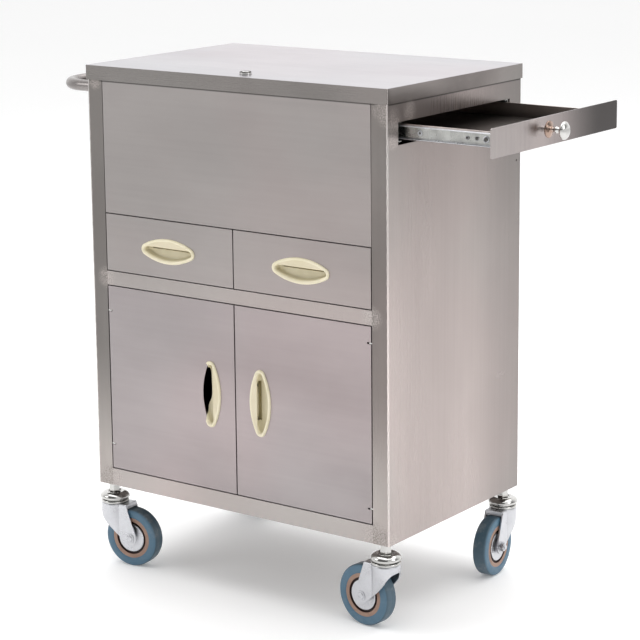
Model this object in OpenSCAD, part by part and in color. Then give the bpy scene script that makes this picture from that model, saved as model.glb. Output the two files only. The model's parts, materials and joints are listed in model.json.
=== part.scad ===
// Instrument cart: stainless steel cabinet on four swivel casters.
// X runs along the front, Y from front to back, Z up; the origin lies on the floor
// under the centre of the whole cart, with its handle and its pulled-out side tray.

/* [Cabinet] */
// Width of the cabinet body
cab_w = 600; // [500:10:700]
// Depth of the cabinet body
cab_d = 386; // [360:2:460]
// Height from the underside of the body to the top of the lid
cab_h = 718; // [700:2:760]
// Thickness of the cabinet sheet
sheet = 1.2; // [1:0.1:1.5]
// Width of a corner post
post_w = 29; // [25:1:32]
// Wall of a corner post
post_wall = 1.5; // [1.2:0.1:2]
// Height of the bottom rail
bottom_rail_h = 30; // [25:1:40]
// Height of the middle rail
mid_rail_h = 24; // [20:1:30]
// Height of the cupboard opening between the rails
cupboard_h = 320; // [300:5:330]
// Height of the drawer opening above the middle rail
drawer_bay_h = 99; // [95:1:105]
// Depth of the front rails
rail_d = 20; // [18:1:25]

/* [Lid] */
// Height of the lid's skirt
lid_h = 24; // [20:1:28]
// Overhang of the lid at the front and the back
lid_over_y = 3.5; // [3:0.5:5]
// Overhang of the lid at the sides
lid_over_x = 2; // [2:0.5:4]
// Radius of a lid hinge knuckle
hinge_r = 4; // [3:0.5:4]
// Width of a lid hinge
hinge_w = 60; // [45:3:90]
// Diameter of the lock's face
lock_d = 20; // [18:1:24]
// Distance of the lock behind the cabinet's front face
lock_back = 30; // [28:1:40]

/* [Side tray] */
// How far the side tray stands out at rest
tray_out = 180; // [120:5:200]
// Height of the side tray's front plate
tray_plate_h = 45; // [42:1:50]
// Thickness of the side tray's front plate
tray_plate_t = 1.5; // [1.2:0.1:2]
// Height of the side tray's box
tray_box_h = 24.2; // [20:0.2:28]
// Diameter of the tray knob
knob_d = 28; // [24:1:32]
// How far the tray knob stands out
knob_len = 33; // [28:1:38]

/* [Slides] */
// Height of a slide's outer member
slide_h = 30; // [27:1:32]
// Thickness of a closed slide
slide_t = 12.7; // [12:0.1:14]
// Sheet of the slide members
slide_sheet = 1.2; // [1:0.1:1.4]
// Diameter of a slide ball
ball_d = 3.5; // [3:0.1:3.6]

/* [Drawers and doors] */
// Depth of a drawer front and of a door
front_depth = 16; // [14:1:18]
// Gap round a drawer front and a door
front_gap = 1.5; // [1:0.1:2]
// Length of an oval pull
pull_len = 111; // [100:1:120]
// Width of an oval pull
pull_wid = 42; // [38:1:46]
// How far a pull's rim stands proud
pull_proud = 3; // [2:0.5:4]
// Depth of a pull's pocket behind the front face
pull_pocket = 10; // [8:1:12]

/* [Push handle] */
// Diameter of the handle tube
tube_d = 19; // [16:1:22]
// Wall of the handle tube
tube_wall = 1.2; // [1:0.1:1.5]
// Reach of the handle from the cabinet's side to the tube's centre
handle_reach = 84; // [70:1:100]
// Bend radius of the handle, at the tube's centre
handle_bend = 55; // [40:1:60]

/* [Casters] */
// Height of a caster from the floor to the body
caster_h = 143; // [138:1:150]
// Diameter of a wheel
wheel_d = 100; // [90:1:105]
// Width of a wheel
wheel_w = 25; // [22:1:26]
// Trail of a caster: its axle's distance from the stem
trail = 38; // [34:1:40]
// Distance of a stem from the body's sides
stem_inset = 18; // [17:1:20]
// Diameter of a stem
stem_d = 12; // [10:1:12]

/* [Hidden] */
$fn = 64;

steel = [0.66, 0.64, 0.63];
bright = [0.80, 0.80, 0.81];
zinc = [0.84, 0.84, 0.86];
cream = [0.93, 0.90, 0.78];
tyre_blue = [0.33, 0.45, 0.55];
core_tan = [0.69, 0.56, 0.50];
rubber = [0.12, 0.12, 0.12];

// Clearances
run_clear = 0.05;
part_clear = 0.3;

// Heights above the underside of the body
cupboard_top = bottom_rail_h + cupboard_h;
drawer_bottom = cupboard_top + mid_rail_h;
panel_bottom = drawer_bottom + drawer_bay_h;
bin_floor_z = panel_bottom + sheet;
lid_bottom = cab_h - lid_h;
lid_under = cab_h - sheet;
buffer_t = 1.6;
rim_top = lid_under - buffer_t;
panel_top = rim_top - sheet;
post_top = lid_bottom + 6;
rim_w = 16;
rim_lip = 10;

// Corner posts: inner faces
post_in_left = sheet + post_w;
post_in_right = cab_w - post_in_left;
post_in_back = cab_d - sheet - post_w;

// Side tray
opening_front = 28.5;
opening_back = cab_d - 34.5;
tray_z = 648;
opening_h = 35;
tray_slide_len = 296;
tray_bracket_t = 1.5;
tray_near_web = opening_front + 2.5;
tray_far_web = opening_back - 2.5;
tray_near = tray_near_web + slide_t;
tray_far = tray_far_web - slide_t;
tray_travel_in = tray_out - tray_plate_t - part_clear;
tray_tip = cab_w + tray_out;
tray_bay_x = 292;
tray_bay_top = 682;
tray_outer_x = 302;
tray_cage_len = 70;
knob_y = 170;
knob_z = 650;

// Drawers
drawer_slide_len = 350;
drawer_slide_y = 18;
drawer_slide_z = drawer_bottom + 26;
drawer_box_h = 72;
drawer_box_len = 340;
drawer_box_z = drawer_bottom + 7;
drawer_cage_len = 90;
divider_w = 14;
drawer_pull_z = 420.5;
drawer_pull_x = [164.5, 434.5];

// Doors
door_sheet = 1;
door_pivot_in = 3;
door_pull_z = 193;
door_pull_x = [248.8, 351.2];
door_arm_z = [[74, 306], [56, 322]];
arm_t = 2.5;
arm_r = 2.2;
arm_pin_d = 3;
door_side_gap = 1.8;

// Lid hinge and lock
hinge_y = cab_d + lid_over_y + hinge_r + 0.5;
hinge_x = [120, 480];
lock_x = 308;
lock_barrel_d = 16;
lock_plug_d = 11;
lock_bottom = 700;

// Handle
handle_z = lid_bottom - 14;
handle_y = [18, cab_d - 18];

// Casters: stem position and the direction the wheel trails in
caster_at = [
    [stem_inset, stem_inset, 8],
    [cab_w - stem_inset, stem_inset, 174.5],
    [stem_inset, cab_d - stem_inset, -14],
    [cab_w - stem_inset, cab_d - stem_inset, -85.7]
];
wheel_r = wheel_d / 2;
core_r = 36.5;
fork_in = wheel_w / 2 + 2;
fork_t = 2.5;
cap_r = 25.3;
race_r = 23.5;
axle_d = 8;

// Frame of the whole cart
cart_left = -(handle_reach + tube_d / 2);
cart_right = tray_tip + knob_len;
cart_front = min(-lid_over_y, stem_inset - cap_r);
cart_back = hinge_y + hinge_r;
shift = [-(cart_left + cart_right) / 2, -(cart_front + cart_back) / 2, caster_h];

module in_cart() {
    translate(shift) children();
}

// A box between two corners.
module span(low, high) {
    translate(low) cube(high - low);
}

// A cylinder along X, Y or Z from a start point.
module rod_x(p, r, len) {
    translate(p) rotate([0, 90, 0]) cylinder(r = r, h = len);
}
module rod_y(p, r, len) {
    translate(p) rotate([-90, 0, 0]) cylinder(r = r, h = len);
}
module rod_z(p, r, len) {
    translate(p) cylinder(r = r, h = len);
}

// ---------- cabinet sheets ----------

module side_sheet(x) {
    span([x, 0, 0], [x + sheet, cab_d - sheet, panel_top]);
}

module side_panel_left() {
    color(steel) in_cart() side_sheet(0);
}

module side_panel_right() {
    opening_z = tray_z - opening_h / 2 - 1.5;
    color(steel) in_cart() difference() {
        side_sheet(cab_w - sheet);
        span([cab_w - 5, opening_front, opening_z], [cab_w + 5, opening_back, opening_z + opening_h]);
        rod_x([cab_w - 5, cab_d - 12, tray_z - 88], 1.6, 10);
    }
}

module back_panel() {
    color(steel) in_cart() span([0, cab_d - sheet, 0], [cab_w, cab_d, panel_top]);
}

module upper_front_panel() {
    seam = 0.8;
    color(steel) in_cart() union() {
        span([post_in_left + seam, 0, panel_bottom], [post_in_right - seam, sheet, panel_top]);
        span([post_in_left + seam, 0, panel_bottom],
             [post_in_right - seam, 14, panel_bottom + sheet]);
    }
}

module each_post_corner() {
    for (x = [sheet, cab_w - sheet - post_w], y = [0, post_in_back]) translate([x, y, 0]) children();
}

module corner_posts() {
    bore = post_w - 2 * post_wall;
    color(steel) in_cart() each_post_corner() difference() {
        cube([post_w, post_w, post_top]);
        translate([post_wall, post_wall, -1]) cube([bore, bore, post_top + 2]);
    }
}

// Channel between the front posts, open towards the back.
module front_rail(z, h) {
    wall = 1.5;
    difference() {
        span([post_in_left, 0, z], [post_in_right, rail_d, z + h]);
        span([post_in_left - 1, wall, z + wall], [post_in_right + 1, rail_d + 1, z + h - wall]);
    }
}

module bottom_rail() {
    color(steel) in_cart() front_rail(0, bottom_rail_h);
}

module mid_rail() {
    color(steel) in_cart() front_rail(cupboard_top, mid_rail_h);
}

// Shelf over the whole plan of the cabinet, notched round the posts.
module notched_shelf(z, front) {
    difference() {
        span([sheet, front, z], [cab_w - sheet, cab_d - sheet, z + sheet]);
        each_post_corner() translate([0, 0, -1]) cube([post_w, post_w, cab_h]);
    }
}

module floor_panel() {
    color(steel) in_cart() notched_shelf(bottom_rail_h - sheet, rail_d);
}

module drawer_deck() {
    color(steel) in_cart() notched_shelf(cupboard_top, rail_d);
}

module bin_floor() {
    color(steel) in_cart() notched_shelf(bin_floor_z, sheet);
}

module drawer_divider() {
    x = (cab_w - divider_w) / 2;
    color(steel) in_cart() difference() {
        span([x, rail_d, cupboard_top + sheet], [x + divider_w, cab_d - sheet, bin_floor_z]);
        span([x + sheet, rail_d + sheet, cupboard_top],
             [x + divider_w - sheet, cab_d, bin_floor_z + 1]);
    }
}

module tray_bay_cover() {
    color(steel) in_cart() difference() {
        union() {
            span([tray_bay_x, sheet, tray_bay_top], [cab_w - sheet, cab_d - sheet, tray_bay_top + sheet]);
            span([tray_bay_x, sheet, bin_floor_z + sheet],
                 [tray_bay_x + sheet, cab_d - sheet, tray_bay_top + sheet]);
        }
        each_post_corner() translate([0, 0, -1]) cube([post_w, post_w, cab_h]);
    }
}

module rim_ring(outer, width, z, h) {
    difference() {
        span([outer, outer, z], [cab_w - outer, cab_d - outer, z + h]);
        span([outer + width, outer + width, z - 1],
             [cab_w - outer - width, cab_d - outer - width, z + h + 1]);
    }
}

module top_rim() {
    color(steel) in_cart() union() {
        rim_ring(0, rim_w, panel_top, sheet);
        rim_ring(rim_w - sheet, sheet, panel_top - rim_lip, rim_lip + sheet);
    }
}

module lid_buffers() {
    inset = rim_w / 2;
    color(rubber) in_cart()
        for (x = [inset, cab_w - inset], y = [inset, cab_d - inset])
            rod_z([x, y, rim_top], 5, buffer_t);
}

// ---------- push handle ----------

// U of round bar: two arms along X, two bends and the run along Y.
module handle_path(r) {
    straight = handle_reach - handle_bend;
    run = handle_y[1] - handle_y[0] - 2 * handle_bend;
    for (y = handle_y) rod_x([-straight, y, handle_z], r, straight);
    rod_y([-handle_reach, handle_y[0] + handle_bend, handle_z], r, run);
    translate([-straight, handle_y[0] + handle_bend, handle_z]) rotate([0, 0, 180])
        rotate_extrude(angle = 90) translate([handle_bend, 0]) circle(r = r);
    translate([-straight, handle_y[1] - handle_bend, handle_z]) rotate([0, 0, 90])
        rotate_extrude(angle = 90) translate([handle_bend, 0]) circle(r = r);
}

module push_handle() {
    flange_r = 13.5;
    color(bright) in_cart() {
        difference() {
            handle_path(tube_d / 2);
            handle_path(tube_d / 2 - tube_wall);
        }
        for (y = handle_y) difference() {
            rod_x([-3, y, handle_z], flange_r, 3);
            rod_x([-4, y, handle_z], tube_d / 2 + run_clear, 5);
        }
    }
}

// ---------- lid ----------

// Pan with the lock's face let into its skin, and a seat under the skin that carries the lock.
module lid_pan() {
    inner = sheet;
    seat_r = 16;
    color(steel) in_cart() union() {
        difference() {
            span([-lid_over_x, -lid_over_y, lid_bottom],
                 [cab_w + lid_over_x, cab_d + lid_over_y, cab_h]);
            span([inner - lid_over_x, inner - lid_over_y, lid_bottom - 1],
                 [cab_w + lid_over_x - inner, cab_d + lid_over_y - inner, lid_under]);
            rod_z([lock_x, lock_back, lid_under - 1], lock_d / 2 + run_clear, 5);
        }
        difference() {
            rod_z([lock_x, lock_back, lid_under - sheet], seat_r, sheet);
            rod_z([lock_x, lock_back, lid_under - 5], lock_barrel_d / 2 + run_clear, 10);
        }
    }
}

// One knuckle of a lid hinge, bored for the pin.
module knuckle(x, len, pin_r) {
    difference() {
        rod_x([x, hinge_y, lid_bottom], hinge_r, len);
        rod_x([x - 1, hinge_y, lid_bottom], pin_r, len + 2);
    }
}

pin_r = 1.5;
knuckle_w = hinge_w / 3;

module lid_hinge_frame_leaves() {
    leaf = 1.5;
    step_z = lid_bottom - hinge_r - 2.5;
    color(bright) in_cart() for (x = hinge_x) {
        difference() {
            union() {
                span([x - hinge_w / 2, cab_d, step_z - 34], [x + hinge_w / 2, cab_d + leaf, step_z]);
                span([x - hinge_w / 2, cab_d, step_z - leaf],
                     [x + hinge_w / 2, cab_d + lid_over_y + 2, step_z]);
                for (side = [-1, 1]) translate([side * knuckle_w, 0, 0]) {
                    span([x - knuckle_w / 2, cab_d + lid_over_y + 0.5, step_z - leaf],
                         [x + knuckle_w / 2, cab_d + lid_over_y + 2, lid_bottom]);
                    rod_x([x - knuckle_w / 2, hinge_y, lid_bottom], hinge_r, knuckle_w);
                }
            }
            rod_x([x - hinge_w, hinge_y, lid_bottom], pin_r, 2 * hinge_w);
            for (side = [-1, 1]) rod_y([x + side * 18, cab_d - 1, step_z - 20], 2, 4);
        }
        rod_x([x - hinge_w / 2, hinge_y, lid_bottom], pin_r, hinge_w);
    }
}

module lid_hinge_leaves() {
    leaf = 1.5;
    w = knuckle_w - 2 * part_clear;
    face = cab_d + lid_over_y;
    color(bright) in_cart() for (x = hinge_x) difference() {
        union() {
            span([x - hinge_w / 2, face, lid_bottom + hinge_r + 1],
                 [x + hinge_w / 2, face + leaf, cab_h - 2]);
            span([x - w / 2, face, lid_bottom], [x + w / 2, face + leaf, cab_h - 2]);
            rod_x([x - w / 2, hinge_y, lid_bottom], hinge_r, w);
        }
        rod_x([x - w, hinge_y, lid_bottom], pin_r + run_clear, 2 * w);
    }
}

module lock_body() {
    face_h = 3.5;
    crown = 1.5;
    nut_h = 3;
    nut_z = lid_under - sheet - nut_h;
    color(bright) in_cart() translate([lock_x, lock_back, 0]) {
        difference() {
            union() {
                rod_z([0, 0, lid_under], lock_d / 2, cab_h + face_h - lid_under);
                translate([0, 0, cab_h + face_h])
                    cylinder(r1 = lock_d / 2, r2 = lock_d / 2 - 2, h = crown);
                rod_z([0, 0, lock_bottom], lock_barrel_d / 2, lid_under - lock_bottom);
            }
            rod_z([0, 0, lock_bottom - 1], lock_plug_d / 2 + run_clear, 40);
        }
        difference() {
            translate([0, 0, nut_z]) rotate([0, 0, 30]) cylinder(r = 12.5, h = nut_h, $fn = 6);
            rod_z([0, 0, nut_z - 1], lock_barrel_d / 2 + run_clear, nut_h + 2);
        }
    }
}

module lock_plug() {
    plug_top = cab_h + 4.6;
    slot_w = 2;
    slot_len = 7.5;
    cam_t = 2;
    color(bright) in_cart() translate([lock_x, lock_back, 0]) {
        difference() {
            rod_z([0, 0, lock_bottom], lock_plug_d / 2, plug_top - lock_bottom);
            span([-slot_w / 2, -slot_len / 2, plug_top - 3], [slot_w / 2, slot_len / 2, plug_top + 1]);
        }
        union() {
            rod_z([0, 0, lock_bottom - cam_t], 7, cam_t);
            span([0, -5, lock_bottom - cam_t], [22, 5, lock_bottom]);
        }
    }
}

module lock_strike() {
    w = 30;
    color(bright) in_cart() union() {
        span([lock_x - w / 2, sheet, lock_bottom - 10],
             [lock_x + w / 2, sheet + 1.5, lock_bottom + 2]);
        span([lock_x - w / 2, sheet, lock_bottom + 0.5],
             [lock_x + w / 2, 14, lock_bottom + 2]);
    }
}

// ---------- ball-bearing slides ----------

// Profiles lie in the X-Y plane: X away from the mounting face, Y up, Z along the slide.
module slide_outer_profile() {
    half = slide_h / 2;
    difference() {
        translate([0, -half]) square([slide_t - 3.2, slide_h]);
        translate([slide_sheet, slide_sheet - half]) square([slide_t, slide_h - 2 * slide_sheet]);
    }
}

inner_half = slide_h / 2 - slide_sheet - ball_d - 0.1;

module slide_inner_profile() {
    difference() {
        translate([slide_t - 9, -inner_half]) square([9, 2 * inner_half]);
        translate([slide_t - 10, slide_sheet - inner_half])
            square([10 - slide_sheet, 2 * (inner_half - slide_sheet)]);
    }
}

module slide_bar(len) {
    linear_extrude(height = len) children();
}

// Countersunk fixing holes along a member's web.
module web_holes(u, spots) {
    for (z = spots) translate([u - 2, 0, z]) rotate([0, 90, 0]) cylinder(r = 2.2, h = 6);
}

module slide_outer(len) {
    difference() {
        slide_bar(len) slide_outer_profile();
        web_holes(0, [20, len / 2, len - 20]);
    }
}

module slide_inner(len) {
    difference() {
        slide_bar(len) slide_inner_profile();
        web_holes(slide_t - 2, [22, len / 2, len - 62, len - 22]);
    }
}

ball_u = 6;
ball_v = slide_h / 2 - slide_sheet - ball_d / 2 - 0.05;

// A retainer bent round the inner member, with five balls in each race.
module slide_cage(len) {
    strip = 0.6;
    balls = 5;
    spots = [for (i = [0 : balls - 1]) (i + 0.5) * len / balls];
    v = ball_v;
    difference() {
        union() {
            translate([2, -v, 0]) cube([strip, 2 * v, len]);
            for (side = [-1, 1]) translate([2, side * v - strip / 2, 0]) cube([7, strip, len]);
        }
        for (side = [-1, 1], z = spots) translate([ball_u, side * v, z]) sphere(r = ball_d / 2 + 0.1);
    }
    for (side = [-1, 1], z = spots) translate([ball_u, side * v, z]) sphere(r = ball_d / 2);
}

// Stand a slide up along X, its mounting face on Y = y, opening towards +Y or -Y.
module slide_along_x(x, y, z, dir) {
    translate([x, y, z]) mirror([0, dir < 0 ? 1 : 0, 0]) rotate([90, 0, 90]) children();
}

// Stand a slide up along Y, its mounting face on X = x, opening towards +X or -X.
module slide_along_y(x, y, z, dir) {
    translate([x, y, z]) mirror([dir < 0 ? 1 : 0, 0, 0]) rotate([90, 0, 0])
        mirror([0, 0, 1]) children();
}

// ---------- side tray ----------

module tray_slide_brackets() {
    color(steel) in_cart() {
        span([tray_outer_x, tray_near_web - tray_bracket_t, tray_z - 17],
             [cab_w - 2, tray_near_web, tray_bay_top]);
        span([tray_outer_x, tray_far_web, tray_z - 17],
             [cab_w - 2, tray_far_web + tray_bracket_t, tray_bay_top]);
    }
}

module tray_slide_outer() {
    color(zinc) in_cart() {
        slide_along_x(tray_outer_x, tray_near_web, tray_z, 1) slide_outer(tray_slide_len);
        slide_along_x(tray_outer_x, tray_far_web, tray_z, -1) slide_outer(tray_slide_len);
    }
}

tray_inner_x = tray_tip - tray_plate_t - tray_slide_len;

module tray_slide_inner() {
    color(zinc) in_cart() {
        slide_along_x(tray_inner_x, tray_near_web, tray_z, 1) slide_inner(tray_slide_len);
        slide_along_x(tray_inner_x, tray_far_web, tray_z, -1) slide_inner(tray_slide_len);
    }
}

module tray_slide_cages() {
    x = tray_outer_x + (tray_slide_len - tray_cage_len) / 2 + tray_travel_in / 2;
    color(bright) in_cart() {
        slide_along_x(x, tray_near_web, tray_z, 1) slide_cage(tray_cage_len);
        slide_along_x(x, tray_far_web, tray_z, -1) slide_cage(tray_cage_len);
    }
}

tray_floor_z = tray_z - 12.2;
screw_r = 2;

module tray_box() {
    x = tray_inner_x + 1;
    tip = tray_tip - tray_plate_t;
    color(steel) in_cart() difference() {
        span([x, tray_near, tray_floor_z], [tip, tray_far, tray_floor_z + tray_box_h]);
        span([x + sheet, tray_near + sheet, tray_floor_z + sheet],
             [tip - sheet, tray_far - sheet, cab_h]);
        rod_x([tip - 5, knob_y, knob_z], screw_r + 0.1, 10);
    }
}

module tray_front() {
    bottom = tray_z - 22;
    corner = 3;
    edge = 3.5;
    wide = cab_d - 2 * edge;
    color(steel) in_cart() difference() {
        translate([tray_tip - tray_plate_t, edge, bottom]) rotate([90, 0, 90])
            linear_extrude(height = tray_plate_t) rounded_rect(wide, tray_plate_h, corner);
        rod_x([tray_tip - 5, knob_y, knob_z], screw_r + 0.1, 10);
    }
}

// Rectangle with its corners rounded by true arcs.
module rounded_rect(w, h, r) {
    union() {
        translate([r, 0]) square([w - 2 * r, h]);
        translate([0, r]) square([w, h - 2 * r]);
        for (x = [r, w - r], y = [r, h - r]) translate([x, y]) circle(r = r);
    }
}

// Turned knob: rosette, bead and mushroom head, held by a screw from inside the tray.
module tray_knob() {
    head = knob_d / 2;
    color(bright) in_cart() translate([tray_tip, knob_y, knob_z]) {
        rotate([0, 90, 0]) difference() {
            rotate_extrude() difference() {
                union() {
                    square([13, 1.2]);
                    polygon([[0, 1.2], [11, 1.2], [5, 5], [3.2, 8], [3.2, knob_len - 8], [0, knob_len - 8]]);
                    translate([0, 14]) intersection() {
                        circle(r = 5);
                        translate([0, -5]) square([5, 10]);
                    }
                    polygon([[0, 18], [4, 20], [9, knob_len - 9], [head, knob_len - 7],
                             [head, knob_len - 5.5], [0, knob_len - 5.5]]);
                    intersection() {
                        translate([0, knob_len - 21]) circle(r = 21);
                        translate([0, knob_len - 5.5]) square([head, 5.5]);
                    }
                }
                translate([-50, -10]) square([50, 100]);
            }
            translate([0, 0, -1]) cylinder(r = screw_r, h = 11);
        }
        rod_x([-4, 0, 0], screw_r - run_clear, 13);
        rod_x([-tray_plate_t - sheet - 2.4, 0, 0], 4, 2.4);
    }
}

// ---------- oval pulls ----------

// Oval of four tangent arcs: two flat sides and two tight ends.
module oval(len, wid, end_r) {
    a = len / 2;
    b = wid / 2;
    side_r = (pow(a - end_r, 2) + b * b - end_r * end_r) / (2 * (b - end_r));
    tangent_x = (a - end_r) * side_r / (side_r - end_r);
    intersection() {
        translate([0, b - side_r]) circle(r = side_r, $fn = 180);
        translate([0, side_r - b]) circle(r = side_r, $fn = 180);
        translate([-tangent_x, -b]) square([2 * tangent_x, wid]);
    }
    for (side = [-1, 1]) translate([side * (a - end_r), 0]) circle(r = end_r);
}

cut_len = pull_len - 11;
cut_wid = pull_wid - 10;

module cut_out() {
    oval(cut_len, cut_wid, 7);
}

// A pull lies in the X-Y plane with its lip on +Y; Z = 0 is the face of the sheet, +Z outwards.
module pull(open_side) {
    wall = 1.4;
    lip_t = 1.6;
    lip_at = cut_wid / 2 - 0.39 * cut_wid;
    difference() {
        union() {
            linear_extrude(height = pull_proud) oval(pull_len, pull_wid, 10);
            translate([0, 0, -pull_pocket]) linear_extrude(height = pull_pocket + 1)
                oval(cut_len - 0.4, cut_wid - 0.4, 6.8);
        }
        difference() {
            translate([0, 0, -pull_pocket + wall]) linear_extrude(height = 30)
                oval(cut_len - 2 * wall, cut_wid - 2 * wall, 5.4);
            translate([-pull_len, lip_at, pull_proud - lip_t - 0.8])
                cube([2 * pull_len, pull_wid, lip_t]);
        }
        if (open_side) translate([0, -pull_wid / 2 + 1, 0]) linear_extrude(height = 60, center = true)
            oval(pull_len - 24, 20, 6);
    }
}

// ---------- drawers ----------

// Drawer i: 0 is left, 1 is right.
front_x = [[post_in_left + front_gap, cab_w / 2 - 1], [cab_w / 2 + 1, post_in_right - front_gap]];
bay_x = [[post_in_left, (cab_w - divider_w) / 2], [(cab_w + divider_w) / 2, post_in_right]];

module drawer_box(i) {
    x0 = bay_x[i][0] + slide_t;
    x1 = bay_x[i][1] - slide_t;
    y0 = front_depth;
    y1 = front_depth + drawer_box_len;
    color(steel) in_cart() difference() {
        span([x0, y0, drawer_box_z], [x1, y1, drawer_box_z + drawer_box_h]);
        span([x0 + sheet, y0 + sheet, drawer_box_z + sheet], [x1 - sheet, y1 - sheet, cab_h]);
    }
}

module drawer_front(i) {
    z0 = drawer_bottom + front_gap;
    z1 = panel_bottom - front_gap;
    color(steel) in_cart() difference() {
        span([front_x[i][0], 0, z0], [front_x[i][1], front_depth, z1]);
        span([front_x[i][0] + door_sheet, door_sheet, z0 + door_sheet],
             [front_x[i][1] - door_sheet, front_depth + 1, z1 - door_sheet]);
        translate([drawer_pull_x[i], 2, drawer_pull_z]) rotate([90, 0, 0])
            linear_extrude(height = 4) cut_out();
    }
}

module drawer_pull(i) {
    color(cream) in_cart() translate([drawer_pull_x[i], 0, drawer_pull_z]) rotate([90, 0, 0])
        pull(false);
}

module drawer_slides(i) {
    for (side = [0, 1])
        slide_along_y(bay_x[i][side], drawer_slide_y, drawer_slide_z, 1 - 2 * side) children();
}

module drawer_slide_outer() {
    color(zinc) in_cart() for (i = [0, 1]) drawer_slides(i) slide_outer(drawer_slide_len);
}

module drawer_slide_inner(i) {
    color(zinc) in_cart() drawer_slides(i) slide_inner(drawer_slide_len);
}

module drawer_cages(i) {
    color(bright) in_cart() drawer_slides(i)
        translate([0, 0, (drawer_slide_len - drawer_cage_len) / 2]) slide_cage(drawer_cage_len);
}

module drawer_left_box() { drawer_box(0); }
module drawer_left_front() { drawer_front(0); }
module drawer_left_pull() { drawer_pull(0); }
module drawer_left_slide_inner() { drawer_slide_inner(0); }
module drawer_left_cages() { drawer_cages(0); }
module drawer_right_box() { drawer_box(1); }
module drawer_right_front() { drawer_front(1); }
module drawer_right_pull() { drawer_pull(1); }
module drawer_right_slide_inner() { drawer_slide_inner(1); }
module drawer_right_cages() { drawer_cages(1); }

// ---------- doors ----------

door_z0 = bottom_rail_h + front_gap;
door_z1 = cupboard_top - front_gap;
door_edge = post_in_left + door_side_gap;

// The left door; the right one is its mirror image about the middle of the front.
module mirrored(i) {
    translate([i * cab_w, 0, 0]) mirror([i, 0, 0]) children();
}

module door_panel(i) {
    far = cab_w / 2 - 1;
    pin_x = door_edge + door_pivot_in;
    slot = arm_t + 2 * part_clear;
    block_h = 20;
    color(steel) in_cart() mirrored(i) difference() {
        union() {
            difference() {
                span([door_edge, 0, door_z0], [far, front_depth, door_z1]);
                span([door_edge + door_sheet, door_sheet, door_z0 + door_sheet],
                     [far - door_sheet, front_depth + 1, door_z1 - door_sheet]);
            }
            for (z = door_arm_z[i])
                span([door_edge + door_sheet, door_sheet, z - block_h / 2],
                     [door_edge + 10, 9, z + block_h / 2]);
        }
        for (z = door_arm_z[i]) {
            rod_z([pin_x, door_pivot_in, z - block_h], arm_pin_d / 2 + run_clear, 2 * block_h);
            span([door_edge - 1, -1, z - slot / 2], [pin_x + 4.3, 5.7, z + slot / 2]);
        }
        translate([cab_w / 2 - (door_pull_x[1] - door_pull_x[0]) / 2, 2, door_pull_z])
            rotate([90, 0, 0]) linear_extrude(height = 4) rotate([0, 0, 90]) cut_out();
    }
}

module door_pull(i) {
    color(cream) in_cart() translate([door_pull_x[i], 0, door_pull_z]) rotate([90, 0, 0])
        rotate([0, 0, 90 - 180 * (1 - i)]) pull(i == 0);
}

module door_pivot_arms() {
    pin_h = 16;
    color(bright) in_cart() for (i = [0, 1]) mirrored(i) for (z = door_arm_z[i]) {
        pin_x = door_edge + door_pivot_in;
        union() {
            span([post_in_left, door_pivot_in - arm_r, z - arm_t / 2],
                 [pin_x, door_pivot_in + arm_r, z + arm_t / 2]);
            rod_z([pin_x, door_pivot_in, z - arm_t / 2], arm_r, arm_t);
            rod_z([pin_x, door_pivot_in, z - pin_h / 2], arm_pin_d / 2, pin_h);
        }
    }
}

module door_catches() {
    w = 40;
    color(rubber) in_cart() for (i = [0, 1]) mirrored(i)
        span([cab_w / 2 - 20 - w, front_depth + 0.2, cupboard_top - 14],
             [cab_w / 2 - 20, front_depth + 18, cupboard_top]);
}

module door_left_panel() { door_panel(0); }
module door_left_pull() { door_pull(0); }
module door_right_panel() { door_panel(1); }
module door_right_pull() { door_pull(1); }

// ---------- casters ----------

// Caster i stands with its stem on the axis, on the floor, trailing along its own direction.
module at_stem(i) {
    translate([shift[0] + caster_at[i][0], shift[1] + caster_at[i][1], 0]) children();
}
module at_caster(i) {
    at_stem(i) rotate([0, 0, caster_at[i][2]]) children();
}

cap_bottom = caster_h - 28;
cap_h = 16;
race_bottom = cap_bottom - 8.5;
plate_bottom = race_bottom - fork_t;

module caster_sockets() {
    gap = post_wall + run_clear;
    side = post_w - 2 * gap;
    color(bright) in_cart() difference() {
        each_post_corner() translate([gap, gap, 0]) cube([side, side, 45]);
        for (i = [0 : 3]) rod_z([caster_at[i][0], caster_at[i][1], -1], stem_d / 2 + run_clear, 60);
    }
}

module caster_stems() {
    nut_flats = 19;
    nut_r = nut_flats / sqrt(3);
    nut_z = cap_bottom + cap_h;
    color(bright) for (i = [0 : 3]) at_stem(i) {
        rod_z([0, 0, race_bottom - 1], stem_d / 2, caster_h + 40 - race_bottom);
        rod_z([0, 0, race_bottom - fork_t - 5], 9, 5 + fork_t - part_clear);
        difference() {
            translate([0, 0, nut_z]) cylinder(r = nut_r, h = caster_h - nut_z, $fn = 6);
            rod_z([0, 0, nut_z - 1], stem_d / 2 + run_clear, 30);
        }
    }
}

// Domed chrome cap over the swivel bearing.
module caster_caps() {
    shoulder = 4;
    dome_r = cap_r + 4;
    color(bright) for (i = [0 : 3]) at_stem(i) translate([0, 0, cap_bottom]) difference() {
        rotate_extrude() intersection() {
            union() {
                square([cap_r, shoulder]);
                translate([0, shoulder]) intersection() {
                    translate([0, cap_h - shoulder - dome_r]) circle(r = dome_r);
                    translate([0, -1]) square([cap_r - 1.5, cap_h - shoulder + 1]);
                }
            }
            square([cap_r, cap_h]);
        }
        translate([0, 0, -1]) cylinder(r = stem_d / 2 + run_clear, h = cap_h + 2);
    }
}

// Side view of a fork leg: X along the trail, Y up.
module leg_outline() {
    boss_r = 12.5;
    union() {
        polygon([
            [-20, race_bottom], [33, race_bottom], [trail + boss_r, wheel_r + 2],
            [trail, wheel_r - boss_r], [trail - 9, wheel_r - 8.7], [10, 58], [-2, 68],
            [-12, 79], [-18, 90]
        ]);
        translate([trail, wheel_r]) circle(r = boss_r);
    }
}

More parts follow.
